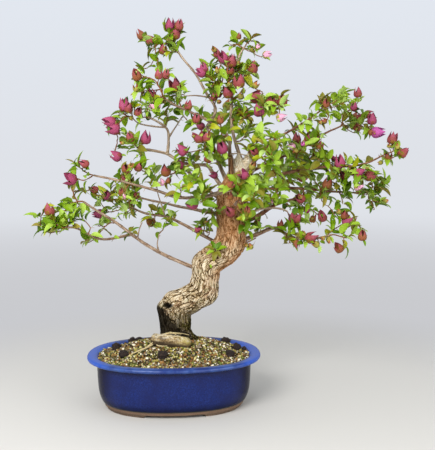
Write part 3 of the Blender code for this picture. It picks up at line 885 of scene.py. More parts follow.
def boughFinish():
    bark = Finish("bark_of_boughs", "8a7866", 0.8)
    streak = bark.attribute("ridge") + (bark.speckle(1.8, 4, 0.65) - 0.5) * 0.5
    pale = bark.ramp(streak, (0.15, "6a5440"), (0.45, "a08a70"), (0.75, "ccbca6"))
    dark = bark.ramp(streak, (0.15, "341c10"), (0.45, "6a3f28"), (0.8, "9c7250"))
    bark.paint(bark.mix(bark.attribute("dark"), pale, dark))
    bark.bump(bark.speckle(1.2, 3, 0.6), 0.35, 0.7)
    return bark


def limbRings(start, end, places, step):
    length = sum(math.dist(a, b) for a, b in zip(places, places[1:]))
    count = max(round(length / step), 3)
    spots = [Vector(curveAt(places, i / count)) for i in range(count + 1)]
    rings = []
    side = None
    for i, spot in enumerate(spots):
        ahead = (spots[min(i + 1, count)] - spots[max(i - 1, 0)]).normalized()
        if side is None:
            side = ahead.orthogonal().normalized()
        side = (side - ahead * side.dot(ahead)).normalized()
        share = i / count
        rings.append((spot, side, ahead.cross(side), blend(start, end, share), length * share, ahead))
    return rings


def boughShape(number, start, end, dark, places):
    rings = limbRings(start, end, places, boughGrain["step"])
    last = len(rings) - 1
    offset = number * 37.0

    def spot(turn, row):
        middle, side, other, radius, length, _ = rings[row]
        outward = side * math.cos(turn) + other * math.sin(turn)
        seed = Vector((offset, 0, length / 40))
        free = ease(0, boughGrain["steady"][0], length)
        free *= ease(0, boughGrain["steady"][1], rings[last][4] - length)
        middle = middle + noise.noise_vector(seed) * boughGrain["wander"] * free
        pastJoint = math.remainder(length + offset, boughGrain["joint"])
        joint = math.exp(-(pastJoint / boughGrain["jointLength"]) ** 2)
        around = Vector((math.cos(turn + length / 60), math.sin(turn + length / 60), 0)) * 3.2
        streak = noise.noise(around * 0.9 + Vector((offset, 0, length / 16)))
        fine = noise.noise(around * 1.9 + Vector((0, offset, length / 7)))
        ridge = 0.5 + 0.5 * streak + 0.3 * fine
        thicker, reach = boughGrain["flare"]
        radius *= 1 + boughGrain["jointSwell"] * joint + thicker * math.exp(-length / reach)
        radius += boughGrain["furrow"] * (streak + 0.5 * fine)
        if row == last:
            radius *= boughGrain["endCap"]
        return middle + outward * radius, around + Vector((offset, 0, length)), min(max(ridge, 0), 1), dark

    return sleeve(boughGrain["sides"], last, spot, ("ridge", "dark"))


def makeBoughs():
    whole = bmesh.new()
    for number, (start, end, dark, places) in enumerate([*boughs.values(), *spurs.values()]):
        mesh = fromShape("bough", boughShape(number, start, end, dark, places))
        whole.from_mesh(mesh)
        bpy.data.meshes.remove(mesh)
    addPiece("bough_bark", fromShape("bough_bark", whole), [boughFinish()], list(boughs))


# Dead wood and the root that lies on the soil
deadStub = {
    "start": 6,
    "end": 4.4,
    "sides": 30,
    "step": 0.9,
    "ragged": 12,  # the last rows, which are broken off unevenly
    "places": ((119, 8, 424), (115, -5, 438), (113, -7, 465), (111, -7, 491)),
}
topRoot = {
    "start": 11,
    "end": 13.5,
    "sides": 64,
    "step": 0.8,
    "swelling": 1.22,
    "ends": (0.12, 0.16),  # shares of the length over which it rounds off
    "places": ((-46, 1, 120), (-26, -5, 119), (4, -9, 115), (33, -10, 110.5)),
}


def makeStub():
    wood = Finish("peeled_wood", "6a4526", 0.85)
    streak = wood.attribute("ridge") + (wood.speckle(1.4, 4) - 0.5) * 0.4
    wood.paint(wood.ramp(streak, (0.2, "2e1b0d"), (0.5, "6b4524"), (0.75, "a37a4e"), (0.92, "c9a880")))
    wood.bump(wood.speckle(1, 3), 0.4)
    rings = limbRings(deadStub["start"], deadStub["end"], deadStub["places"], deadStub["step"])
    last = len(rings) - 1

    def spot(turn, row):
        middle, side, other, radius, length, ahead = rings[row]
        around = Vector((math.cos(turn), math.sin(turn), 0)) * 5
        streak = noise.noise(around / 1.5 + Vector((0, 0, length / 26)))
        fine = noise.noise(around / 0.8 + Vector((0, 0, length / 9)))
        radius += 1.1 * streak + 0.4 * fine
        high = 2.5 * noise.noise(around / 2) * ease(last - deadStub["ragged"], last, row)
        if row == last:
            radius *= 0.5
        outward = side * math.cos(turn) + other * math.sin(turn)
        found = middle + outward * radius + ahead * high
        return found, around + Vector((0, 0, length)), 0.5 + 0.45 * streak + 0.3 * fine

    shape = sleeve(deadStub["sides"], last, spot, ("ridge",))
    addPiece("peeled_stub_wood", fromShape("peeled_stub_wood", shape), [wood], ["peeled_stub"])


def roundOff(share):  # the half width of a round end, this share of the way into it
    return math.sqrt(max(1 - max(0, share) ** 2, 0))


def makeTopRoot():
    skin = Finish("skin_of_root", "b8a888", 0.85)
    mottle = skin.attribute("ridge") * 0.34 + skin.speckle(3, 5, 0.7) * 0.76
    pale = skin.ramp(mottle, (0.42, "281806"), (0.53, "745a32"), (0.64, "b49c6c"), (0.82, "fcf2dc"))
    # paler on top, in patches
    paleOnTop = skin.attribute("above") * skin.slide(skin.speckle(5, 3), 0.4, 0.62)
    above = skin.mix(paleOnTop * 0.6, pale, "d8d0b8")
    stained = skin.attribute("end") * skin.slide(skin.speckle(4, 3), 0.3, 0.6)
    yellow = skin.mix(stained * 0.8, above, "a89a4a")
    # painted shade: the underside turns dark brown
    skin.paint(skin.mix(skin.attribute("below") * 0.95, yellow, "33240e"))
    skin.bump(skin.speckle(1.3, 4, 0.65), 0.6)
    rings = limbRings(topRoot["start"], topRoot["end"], topRoot["places"], topRoot["step"])
    last = len(rings) - 1
    nearEnd, farEnd = topRoot["ends"]

    def spot(turn, row):
        middle, side, other, radius, length, _ = rings[row]
        share = row / last
        radius *= 1 + (topRoot["swelling"] - 1) * math.sin(math.pi * share)
        close = roundOff(1 - share / nearEnd) * roundOff((share - (1 - farEnd)) / farEnd)
        outward = side * math.cos(turn) + other * math.sin(turn)
        around = Vector((math.cos(turn), math.sin(turn), 0)) * 12
        crease = noise.noise(around / 5 + Vector((0, 0, length / 14)))
        fine = noise.noise(around / 2 + Vector((0, 0, length / 6)))
        found = middle + outward * (radius * 0.96 + 0.9 * crease + 0.35 * fine) * max(close, 0.02)
        # above gives the paler top, below the painted shade underneath
        above, below, end = ease(0.2, 0.8, outward.z), ease(0.42, -0.12, outward.z), ease(0.6, 0.95, share)
        return found, around + Vector((0, 0, length)), 0.5 + 0.5 * crease, above, end, below

    shape = sleeve(topRoot["sides"], last, spot, ("ridge", "above", "end", "below"))
    mesh = fromShape("surface_root_skin", shape)
    addPiece("surface_root_skin", mesh, [skin], ["surface_root"])


# Twigs grow from the boughs, each to a spot in a mass of foliage
growth = {
    "seed": 21,
    "knotStep": 6,
    "bareStart": 18,  # no twig leaves a bough nearer to its start
    "trunkStep": 12,  # one knot for so many rings of the trunk
    "trunkFrom": 340,
    "fill": 0.92,  # how near the outside of its mass a twig may end
    "choices": 9,  # the end of a twig is the best spaced of so many spots
    "raised": 4,  # the ends lie this much above their spots
    "highest": 738,
    "amounts": {  # twigs that end in each mass
        "leaves_far_left": 8, "leaves_left_tip": 3, "leaves_left_skirt": 2, "leaves_left_middle": 8,
        "leaves_left_inner": 6, "leaves_left_upper_tip": 3, "leaves_left_upper": 5,
        "leaves_left_shoulder": 5, "leaves_left_crown": 9, "leaves_upper_left": 10, "leaves_top_left": 5,
        "leaves_top": 4, "leaves_top_right_tip": 4, "leaves_centre_top": 14, "leaves_centre": 7,
        "leaves_right_crown": 13, "leaves_centre_right": 15, "leaves_right_heart": 12,
        "leaves_right_upper": 5, "leaves_right_shoulder": 9, "leaves_far_right": 4,
        "leaves_right_middle": 6, "leaves_right_tip": 5, "leaves_right_low": 15, "leaves_right_skirt": 4,
        "leaves_lowest_right": 6, "leaves_front_left": 7, "leaves_front_right": 11, "leaves_back_left": 10,
        "leaves_back_centre": 12, "leaves_back_right": 12,
    },
    "bridges": (  # twigs that end between the masses: centre x, y, z, half widths and how many
        (152, -10, 352, 26, 30, 28, 6), (290, 10, 462, 38, 40, 34, 10), (186, -24, 436, 32, 36, 24, 8),
        (136, 20, 545, 26, 40, 30, 6), (8, -40, 584, 26, 30, 22, 5), (258, 0, 514, 42, 45, 28, 11),
        (336, 0, 440, 24, 36, 28, 5), (192, -20, 406, 22, 30, 14, 4), (112, -34, 362, 26, 18, 20, 3),
        (80, 10, 490, 20, 30, 20, 4), (8, -10, 452, 20, 30, 16, 4), (-214, -58, 356, 24, 22, 12, 5),
        (-182, -60, 366, 18, 20, 12, 3), (-10, 46, 694, 22, 18, 12, 5), (158, 20, 650, 6, 24, 16, 2),
        (18, -50, 606, 12, 20, 10, 3), (262, -46, 548, 30, 16, 8, 4), (334, -10, 598, 14, 30, 6, 2),
        (35, 0, 490, 24, 30, 10, 4), (76, 18, 372, 10, 30, 22, 3), (56, 30, 340, 26, 30, 10, 4),
        (182, 0, 362, 18, 20, 10, 3), (240, 0, 354, 20, 24, 8, 3), (412, 50, 390, 12, 20, 10, 3),
        (438, 40, 424, 8, 20, 12, 2), (345, 10, 470, 24, 24, 8, 3), (-150, 10, 418, 14, 24, 8, 2),
        (-190, -30, 382, 16, 24, 8, 2), (345, 30, 350, 20, 24, 8, 2), (-148, 20, 344, 10, 20, 6, 2),
        (-178, 0, 306, 10, 20, 6, 2), (-212, 10, 378, 12, 20, 6, 2), (-95, 40, 368, 10, 20, 6, 2),
        (-10, 20, 564, 12, 20, 6, 2), (130, 20, 586, 10, 20, 8, 2), (146, 20, 528, 12, 20, 8, 2),
        (40, 40, 474, 10, 20, 6, 2), (-42, 40, 444, 10, 20, 6, 2), (-6, 40, 346, 8, 16, 5, 1),
        (180, 20, 388, 12, 20, 6, 2), (236, 20, 382, 12, 20, 6, 2), (226, 0, 302, 8, 16, 5, 1),
        (410, 50, 376, 10, 20, 6, 2), (394, 50, 544, 10, 20, 6, 2), (294, 30, 586, 8, 20, 5, 2),
        (80, 40, 614, 10, 20, 6, 2), (78, 40, 662, 10, 20, 6, 2), (112, 30, 702, 10, 20, 5, 2),
        (97, 40, 466, 8, 10, 8, 2),
    ),
    "shortest": 7,  # of a twig
    "detour": (1.3, 0.35),  # cost of its length, and what is taken off for going the carrier's way
    "firstWay": (0.75, 0.55),  # towards its spot, and along its carrier
    "lastRise": 0.4,
    "lastStray": 0.35,
    "wobble": 1.1,
    "base": 0.5,  # radius of a twig, which grows with the tips that it carries
    "share": 0.42,
    "power": 0.55,
    "foot": (1.1, 0.85, 1.05),  # swelling on a bough, at most this share of the bough, and on a twig
    "tipRadius": 0.55,
    "joints": (0.95, 1.12),  # every second knot is thicker
    "tints": (("7a4818", 0.7), ("8a683a", 0.75), ("807a24", 0.6)),  # plain, branched and short twigs
    "branched": 3,  # with more tips than this
    "short": 5,  # with fewer knots than this
}


class Wood:  # knots along limbs and twigs
    def __init__(self):
        self.spots, self.heads, self.parents, self.tips, self.thick = [], [], [], [], []
        self.gone = set()

    def add(self, spot, head, parent, thick):
        self.spots.append(Vector(spot))
        self.heads.append(head)
        self.parents.append(parent)
        self.tips.append(0)
        self.thick.append(thick)
        return len(self.spots) - 1


def inside(tree, corner):
    hits = 0
    start = Vector(corner)
    while True:
        found = tree.ray_cast(start, up)[0]
        if found is None:
            return hits % 2 == 1
        hits += 1
        start = found + up * 0.01 * mm


def spreadSpots(count, low, high, fits, dice):  # evenly spread, each the best spaced of a few
    spots = []
    for _ in range(count):
        found = []
        for _ in range(growth["choices"]):
            spot = Vector([dice.uniform(low[axis], high[axis]) for axis in range(3)])
            if fits(spot):
                found.append((min([(spot - other).length for other in spots], default=0), spot))
        if found:
            spots.append(max(found, key=lambda pair: pair[0])[1])
    return spots


def massSpots(name, dice):
    tree = BVHTree.FromObject(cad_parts[name], bpy.context.evaluated_depsgraph_get())
    low, high = (unplace(corner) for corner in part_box(name))
    middle = (low + high) / 2
    spots = spreadSpots(growth["amounts"][name], low, high, lambda spot: inside(tree, place(spot)), dice)
    return [middle + (spot - middle) * growth["fill"] for spot in spots]


def bridgeSpots(bridge, dice):
    middle, half = Vector(bridge[:3]), Vector(bridge[3:6])

    def fits(spot):
        return Vector([(spot[axis] - middle[axis]) / half[axis] for axis in range(3)]).length < 1

    return spreadSpots(bridge[6], middle - half, middle + half, fits, dice)


def startKnots(wood):
    for start, end, _, places in [*boughs.values(), *spurs.values()]:
        rings = limbRings(start, end, places, growth["knotStep"])
        for spot, _, _, radius, length, ahead in rings:
            if length > growth["bareStart"]:
                wood.add(spot, ahead, -1, radius)
    for middle, _, _, wide, *_ in trunkSections()[::growth["trunkStep"]]:
        if middle.z > growth["trunkFrom"]:
            wood.add(middle, up, -1, wide)


def growTwig(wood, target, dice):
    spots = np.array([tuple(spot) for spot in wood.spots])
    heads = np.array([tuple(head) for head in wood.heads])
    away = np.array(target) - spots
    far = np.linalg.norm(away, axis=1)
    along = (away * heads).sum(1) / np.maximum(far, 0.1)
    full, saved = growth["detour"]
    cost = np.where(far > growth["shortest"], far * (full - saved * along), math.inf)
    parent = int(cost.argmin())
    start, head = wood.spots[parent], wood.heads[parent]
    way = (target - start).normalized()
    far = (target - start).length
    onward, sideways = growth["firstWay"]
    first = (way * onward + head * sideways).normalized() * far
    stray = growth["lastStray"]
    last = way + up * growth["lastRise"] + Vector([dice.uniform(-stray, stray) for _ in range(3)])
    last = last.normalized() * far
    count = max(math.ceil(far / growth["knotStep"]), 2)
    chain = [parent]
    before = start
    wobble = growth["wobble"]
    for i in range(1, count + 1):
        t = i / count
        spot = start * (2 * t ** 3 - 3 * t * t + 1) + first * (t ** 3 - 2 * t * t + t)
        spot += target * (3 * t * t - 2 * t ** 3) + last * (t ** 3 - t * t)
        if i < count:
            spot += Vector([dice.uniform(-wobble, wobble) for _ in range(3)])
        chain.append(wood.add(spot, (spot - before).normalized(), chain[-1], None))
        before = spot
    return chain


def twigRadius(wood, knot):
    return growth["base"] + growth["share"] * max(wood.tips[knot], 1) ** growth["power"]


def growToView(wood, dice):  # a twig for each bract group that the view shows, from the wood behind it
    eye = Vector(camera["spot"])
    ends = []
    for kind, places in lanternPlaces.items():
        for x, z, lean, length in places:
            target = Vector((x, lantern["plane"], z))
            ray = (target - eye).normalized()
            away = np.array([tuple(spot) for spot in wood.spots]) - np.array(eye)
            along = away @ np.array(ray)
            aside = np.linalg.norm(away - along[:, None] * np.array(ray), axis=1)
            nearest = int((aside + lantern["depthCost"] * along).argmin())
            turn = math.radians(lean)
            axis = Vector((math.sin(turn), dice.uniform(*lantern["leanAway"]), math.cos(turn))).normalized()
            foot = eye + ray * (along[nearest] - dice.uniform(*lantern["before"])) - axis * length * 0.5
            near = (foot - wood.spots[nearest]).length < lantern["onStalk"]
            ends.append((kind, foot, axis, length, [nearest] if near else growTwig(wood, foot, dice)))
    return ends


sprouts = (  # foot, tip, and how many leaves of what length stand round it
    ((80, 12, 290), (82, -6, 300), 7, (17, 25)), ((72, 14, 262), (75, 3, 260), 1, (9, 12)),
    ((-79, 7, 327), (-84, 2, 335), 5, (20, 27)),
)


def trimTwigs(wood, chains, blooms):  # a twig that carries nothing ends short of what the view shows clear
    carried = collections.Counter(wood.parents)
    carried.update(chain[0] for *_, chain in blooms if len(chain) == 1)
    for chain in reversed(chains):
        while len(chain) > 1 and carried[chain[-1]] == 0 and shutsView(wood.spots[chain[-1]]):
            wood.gone.add(chain.pop())
            carried[chain[-1]] -= 1
    return [chain for chain in chains if len(chain) > 1]


def crownMiddle(wood, chains):
    return sum((wood.spots[chain[-1]] for chain in chains), Vector()) / len(chains)


def growTree():
    wood = Wood()
    startKnots(wood)
    chains = []
    for start, end, *_ in sprouts:  # straight from the bark, on the trunk's shoulder and by a bough
        foot = wood.add(start, (Vector(end) - Vector(start)).normalized(), -1, 2)
        chains.append([foot, wood.add(Vector(start).lerp(Vector(end), 0.5), up, foot, None)])
        chains[-1].append(wood.add(end, up, chains[-1][-1], None))
    groups = []
    for name in sorted(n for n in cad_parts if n.startswith("leaves_")):
        dice = random.Random(name + str(growth["seed"]))
        groups.append((massSpots(name, dice), dice))
    for bridge in growth["bridges"]:
        dice = random.Random(str(bridge) + str(growth["seed"]))
        groups.append((bridgeSpots(bridge, dice), dice))
    for spots, dice in groups:
        carriers = [Vector(spot) for spot in wood.spots]
        spots.sort(key=lambda spot: min((spot - carrier).length for carrier in carriers))
        for spot in spots:
            spot.z = min(spot.z + growth["raised"], growth["highest"])
            chains.append(growTwig(wood, spot, dice))
    blooms = growToView(wood, random.Random(lantern["seed"]))
    chains[len(sprouts):] = trimTwigs(wood, chains[len(sprouts):], blooms)
    for knot in range(len(wood.spots) - 1, -1, -1):
        ends = wood.parents[knot]
        if wood.thick[knot] is None and wood.tips[knot] == 0:
            wood.tips[knot] = 1
        if ends >= 0:
            wood.tips[ends] += wood.tips[knot]
    return wood, chains, blooms


def makeTwigs(wood, chains, blooms):
    routes = []
    for chain in chains + [chain for *_, chain in blooms if len(chain) > 1]:
        radii = [twigRadius(wood, knot) for knot in chain]
        carrier = wood.thick[chain[0]]
        onBough, atMost, onTwig = growth["foot"]
        radii[0] = min(radii[1] * onBough, carrier * atMost) if carrier else radii[1] * onTwig
        radii[-1] = growth["tipRadius"]
        number = 0
        if wood.tips[chain[1]] > growth["branched"]:
            number = 1
        if len(chain) < growth["short"] and wood.tips[chain[1]] == 1:
            number = 2
        radii = [radius * growth["joints"][i % 2] for i, radius in enumerate(radii)]
        routes.append(([wood.spots[knot] for knot in chain], radii, number))
    finishes = [Finish("twig_" + code, code, rough) for code, rough in growth["tints"]]
    stems("twigs", routes, finishes)


thorns = {
    "seed": 6,
    "share": 0.16,  # of the knots
    "length": (5, 9),
    "radius": (0.8, 0.15),
    "thickest": 8,  # radius of the wood that bears them
    "forward": 0.25,
    "rooted": 0.7,  # they start this share of the way out through the wood
    "tint": "a58f6e",
}


def makeThorns(wood):
    dice = random.Random(thorns["seed"])
    routes = []
    for knot, spot in enumerate(wood.spots):
        onTrunk = wood.parents[knot] < 0 and wood.thick[knot] > thorns["thickest"]
        bare = knot in wood.gone or onTrunk
        if bare or dice.random() > thorns["share"]:
            continue
        side, _ = frameAt(wood.heads[knot], dice.uniform(0, math.tau))
        way = (side + wood.heads[knot] * thorns["forward"]).normalized()
        bark = wood.thick[knot] or 0
        reach = bark + dice.uniform(*thorns["length"])
        routes.append(([spot + way * bark * thorns["rooted"], spot + way * reach], thorns["radius"], 0))
    stems("thorns", routes, [Finish("thorn_pale", thorns["tint"], 0.7)], 0)


# Leaves
leaf = {
    "seed": 8,
    "size": (23, 32),
    "young": (13, 21),
    "tints": ("aac468", "9ab644", "8aa82a", "7a9a12", "668808", "547604", "425c04", "5c7e28", "9ca01a",
              "8e8232", "76721e"),
    "forms": (  # droop, fold along the midrib, and wave of the edge
        (0.7, 0.55, 0.02), (1.0, 0.6, -0.02), (1.3, 0.48, 0.03), (1.7, 0.58, -0.02), (0.45, 0.42, 0.02),
    ),
    "sproutForms": 3,  # the first so many, for the sprouts
    "grid": (8, 4),
    "outline": (0.69, 0.6, 0.8),  # width, and how blunt the foot and the tip are
    "edge": (0.006, 0.018),  # half width of the tip and of the stalk
    "stalkRun": 1.3,
    "waves": 9,
    "cupped": 0.05,
    "atTip": (4, 6),
    "atLantern": (1, 3),
    "youngAtTip": 2,
    "tipStep": (2.4, 4.6),
    "along": 10,  # one leaf for each of these millimetres of twig
    "uneven": (0.7, 1.4),
    "bareTip": 17.0,
    "bareBase": 0.25,
    "turn": 2.4,  # radians round the twig from each leaf to the next
    "spread": (0.45, 0.18),  # radians from the twig at the tip, and more for each leaf
    "spreadAlong": 1.15,
    "rise": (0.1, 0.85),
    "outward": 0.3,
    "face": (0.8, 0.6, 0.55),  # how much it looks up, outwards and anywhere
    "stalk": 0.18,
    "crown": (1.6, 0.3, 130),  # weights of y and z in the way outwards, and the crown's reach
    "litFrom": ((20, 110), (390, 450)),  # the x and z from which sprays are brighter
    "piece": 190000,  # triangles in one piece at most
}
sprays = {  # share of each kind, and how much more of it there is where it is lit
    "young": (18, 14),
    "fresh": (34, 22),
    "grown": (31, -22),
    "shaded": (17, -14),
}
leafMoods = {  # weights of the tints for each kind of spray
    "young": (15, 30, 25, 12, 4, 0, 0, 0, 7, 5, 9),
    "fresh": (6, 18, 25, 21, 10, 3, 0, 2, 8, 5, 12),
    "grown": (1, 5, 15, 25, 23, 12, 2, 5, 5, 3, 13),
    "shaded": (0, 1, 6, 14, 26, 26, 10, 8, 2, 2, 12),
}
clearings = (  # wood that the view shows free of leaves: x, y, z and reach
    (134, 6, 476, 12), (152, 6, 470, 13), (140, 6, 492, 10), (141, 6, 458, 12), (112, -6, 464, 9),
    (112, 0, 394, 15), (112, 0, 374, 17), (116, 0, 352, 19), (126, 0, 330, 17), (160, 12, 361, 9),
    (178, 12, 372, 9), (196, 10, 384, 8),
)
skyGaps = (  # sky that the view shows through the crown and beside it: x and z on a plane, and reach
    (-278, 404, 20), (-262, 308, 18), (-225, 310, 18), (-196, 318, 8), (-235, 420, 20), (-232, 468, 16),
    (-150, 520, 18), (-146, 498, 14), (-128, 518, 9), (-140, 596, 16), (-112, 622, 14), (-96, 652, 14),
    (-92, 684, 16), (-72, 698, 9), (-78, 738, 14), (34, 735, 12), (14, 664, 14), (36, 640, 10),
    (48, 700, 18), (62, 712, 16), (84, 722, 16), (105, 742, 14), (158, 752, 14), (192, 734, 14),
    (208, 708, 10), (186, 664, 10), (188, 640, 10), (214, 632, 12), (252, 596, 14), (268, 612, 16),
    (290, 626, 14), (312, 630, 12), (380, 625, 12), (404, 598, 12), (430, 584, 14), (372, 512, 16),
    (398, 512, 12), (420, 508, 10), (322, 520, 8), (468, 450, 12), (480, 470, 10), (462, 408, 10),
    (432, 370, 12), (384, 388, 10), (400, 366, 10), (412, 346, 8), (278, 334, 7), (300, 334, 7),
    (270, 286, 12), (228, 290, 10), (204, 304, 10), (175, 290, 12), (206, 362, 8), (226, 366, 8),
    (-84, 352, 10), (-70, 286, 14), (-165, 352, 6), (-136, 306, 12), (-104, 310, 12), (26, 316, 18),
    (4, 330, 12), (-10, 318, 10), (-32, 506, 14), (-36, 486, 9), (-30, 536, 10), (-40, 650, 7),
    (-90, 616, 7), (60, 600, 5), (44, 612, 8), (212, 548, 7), (-132, 468, 10), (-150, 468, 8),
    (-150, 434, 4), (70, 690, 8), (-8, 400, 6), (316, 384, 8), (50, 375, 10), (-54, 410, 8), (12, 692, 6),
    (340, 540, 5), (65, 546, 5), (40, 504, 5), (-185, 292, 12), (-205, 322, 8), (-176, 438, 8),
    (182, 624, 8), (404, 584, 8), (-27, 618, 5), (62, 550, 7), (-62, 684, 8), (-60, 700, 7), (104, 724, 8),
    (-112, 590, 5),
)
skyDepth = 400  # leaves and bare twigs keep clear of it to this far behind the plane
leafReach = 6  # and by this much more


def leafTemplate(droop, fold, wave):
    shape = bmesh.new()
    rows, columns = leaf["grid"]
    wide, foot, tip = leaf["outline"]
    tipHalf, stalkHalf = leaf["edge"]
    bmesh.ops.create_grid(shape, x_segments=rows, y_segments=columns, size=0.5)
    for vert in shape.verts:
        t = (vert.co.x + 0.5) * rows / (rows - 1) - 1 / (rows - 1)  # below 0 on the stalk
        side = vert.co.y * 2
        blade = max(t, 0)
        half = wide * blade ** foot * (1 - blade) ** tip + (tipHalf if t >= 0 else stalkHalf)
        bend = droop * blade
        run = math.sin(bend) / droop if t >= 0 else t * leaf["stalkRun"]
        drop = -(1 - math.cos(bend)) / droop
        lift = abs(side) * half * math.sin(fold) + wave * math.sin(t * leaf["waves"]) * side * half
        vert.co = (run, side * half * math.cos(fold), drop + lift - leaf["cupped"] * side * side * half)
    bmesh.ops.recalc_face_normals(shape, faces=shape.faces)
    if sum(face.normal.z for face in shape.faces) < 0:
        bmesh.ops.reverse_faces(shape, faces=shape.faces)
    return asTemplate(shape)


def leafTurn(axis, face, size):
    axis = axis.normalized()
    side = face.cross(axis)
    side = side.normalized() if side.length > 0.05 else axis.orthogonal().normalized()
    face = axis.cross(side)
    return Matrix((axis, side, face)).transposed() * size * mm


@functools.cache
def sightLines():
    eye = Vector(camera["spot"])
    lines = [(Vector((x, y, z)), reach, 0) for x, y, z, reach in clearings]
    lines += [(Vector((x, lantern["plane"], z)), reach + leafReach, skyDepth) for x, z, reach in skyGaps]
    return eye, [((aim - eye).normalized(), reach, (aim - eye).length + deep) for aim, reach, deep in lines]


def shutsView(spot):  # whether it stands before the wood or sky that the view shows
    eye, lines = sightLines()
    for ray, reach, end in lines:
        along = (spot - eye).dot(ray)
        if along < end and (spot - eye - ray * along).length < reach:
            return True
    return False


def growLeaf(copies, spot, ahead, roll, spread, size, mood, outward, dice):
    side, _ = frameAt(ahead, roll)
    axis = ahead * math.cos(spread) + side * math.sin(spread)
    axis += up * dice.uniform(*leaf["rise"]) + outward * leaf["outward"]
    faceUp, faceOut, toss = leaf["face"]
    face = up * faceUp + outward * faceOut + Vector([dice.uniform(-toss, toss) for _ in range(3)])
    start = spot + axis.normalized() * size * leaf["stalk"]
    if shutsView(start + axis.normalized() * size * 0.5):
        return
    number = dice.choices(range(len(leaf["tints"])), leafMoods[mood])[0]
    copies.append((dice.randrange(len(leaf["forms"])), leafTurn(axis, face, size), place(start), [number]))


def outwardFrom(spot, middle):  # away from the middle of the crown, and nearly level
    deep, high, reach = leaf["crown"]
    away = Vector((spot.x - middle.x, (spot.y - middle.y) * deep, (spot.z - middle.z) * high)) / reach
    return away.normalized() * min(away.length, 1)


def dressTwig(copies, spots, atTip, middle, dice):
    tip = spots[-1]
    outward = outwardFrom(tip, middle)
    litX, litZ = leaf["litFrom"]
    lit = ease(*litX, tip.x) * ease(*litZ, tip.z)  # more bright sprays in the upper right half
    mood = dice.choices(list(sprays), [plain + more * lit for plain, more in sprays.values()])[0]
    roll = dice.uniform(0, math.tau)
    ahead = (tip - spots[-2]).normalized()
    closest, wider = leaf["spread"]
    for k in range(atTip):
        roll += leaf["turn"]
        back = k * dice.uniform(*leaf["tipStep"])
        young = k < leaf["youngAtTip"]
        size = dice.uniform(*(leaf["young"] if young else leaf["size"]))
        spread = closest + wider * k
        kind = "young" if young and mood != "shaded" else mood
        growLeaf(copies, tip - ahead * back, ahead, roll, spread, size, kind, outward, dice)
    walked = 0.0
    due = leaf["bareTip"]
    spread = leaf["spreadAlong"]
    length = sum((b - a).length for a, b in zip(spots, spots[1:]))
    for before, after in reversed(list(zip(spots, spots[1:]))):
        step = (after - before).length
        while due < walked + step and due < length * (1 - leaf["bareBase"]):
            spot = after.lerp(before, (due - walked) / step)
            roll += leaf["turn"]
            size = dice.uniform(*leaf["size"])
            growLeaf(copies, spot, (after - before).normalized(), roll, spread, size, mood, outward, dice)
            due += leaf["along"] * dice.uniform(*leaf["uneven"])
        walked += step


def dressSprout(copies, tip, ahead, count, sizes, dice):  # a star of leaves
    roll = dice.uniform(0, math.tau)
    for _ in range(count):
        roll += math.tau / count * dice.uniform(0.8, 1.2)
        side, _ = frameAt(ahead, roll)
        number = dice.choices(range(len(leaf["tints"])), leafMoods["shaded"])[0]
        turn = leafTurn(side + ahead * 0.35 + up * 0.2, ahead + up * 0.5, dice.uniform(*sizes))
        copies.append((dice.randrange(leaf["sproutForms"]), turn, place(tip + side * 3), [number]))


def makeLeaves(wood, chains, blooms):
    templates = [leafTemplate(*form) for form in leaf["forms"]]
    middle = crownMiddle(wood, chains)
    copies = []
    dice = random.Random(leaf["seed"])
    for (start, end, count, sizes), chain in zip(sprouts, chains):
        dressSprout(copies, Vector(end), (Vector(end) - Vector(start)).normalized(), count, sizes, dice)
    for chain in chains[len(sprouts):]:
        dressTwig(copies, [wood.spots[knot] for knot in chain], dice.randint(*leaf["atTip"]), middle, dice)
    for *_, chain in blooms:
        if len(chain) > 2:
            spots = [wood.spots[knot] for knot in chain[:-1]]
            dressTwig(copies, spots, dice.randint(*leaf["atLantern"]), middle, dice)
    finishes = [Finish("leaf_" + code, code, 0.45, Specular_IOR_Level=0.22) for code in leaf["tints"]]
    perPiece = leaf["piece"] // (2 * len(templates[0][1]))
    masses = [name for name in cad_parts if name.startswith("leaves_")]
    for number, first in enumerate(range(0, len(copies), perPiece)):
        some = copies[first:first + perPiece]
        piece = "leaves_" + str(number + 1)
        joinCopies(piece, templates, some, finishes, [] if number else masses)
    print("leaves:", len(copies))


# Bracts: three round one stalk, half closed like a lantern
lantern = {
    "seed": 3,
    "size": (21, 27),
    "bud": (9, 13),
    "tints": ("76702a", "80581e", "8a5030", "8e4240", "9c4262", "b8569a", "dca0b8", "a86a3c", "9a4855",
              "9a903c"),
    "buds": (0, 0, 0, 1),  # how many a group may have beside it
    "budAway": (11, 15),
    "elsewhere": 0.3,  # share of the twigs at the back that carry one
    "behind": 25,  # so far behind the plane the back starts
    "backKinds": (20, 5, 40, 20, 12, 3),  # weights of the kinds there
    "backStalk": (4, 9),
    "plane": 40,  # the places below are on this plane, as the view shows them
    "depthCost": 0.1,  # of the wood that one may grow from, against its distance from the sight line
    "leanAway": (-0.6, 0.25),
    "before": (2, 10),  # it stands this much nearer to the viewer than the wood
    "onStalk": 9,  # nearer than this to the wood it needs no twig, only a stalk
}
lanternKinds = {  # tint numbers of foot, belly and tip
    "magenta": (3, 4, 4),
    "bright": (4, 5, 5),
    "rose": (1, 3, 8),
    "rust": (1, 2, 3),
    "olive": (0, 9, 7),
    "pale": (9, 6, 6),
}
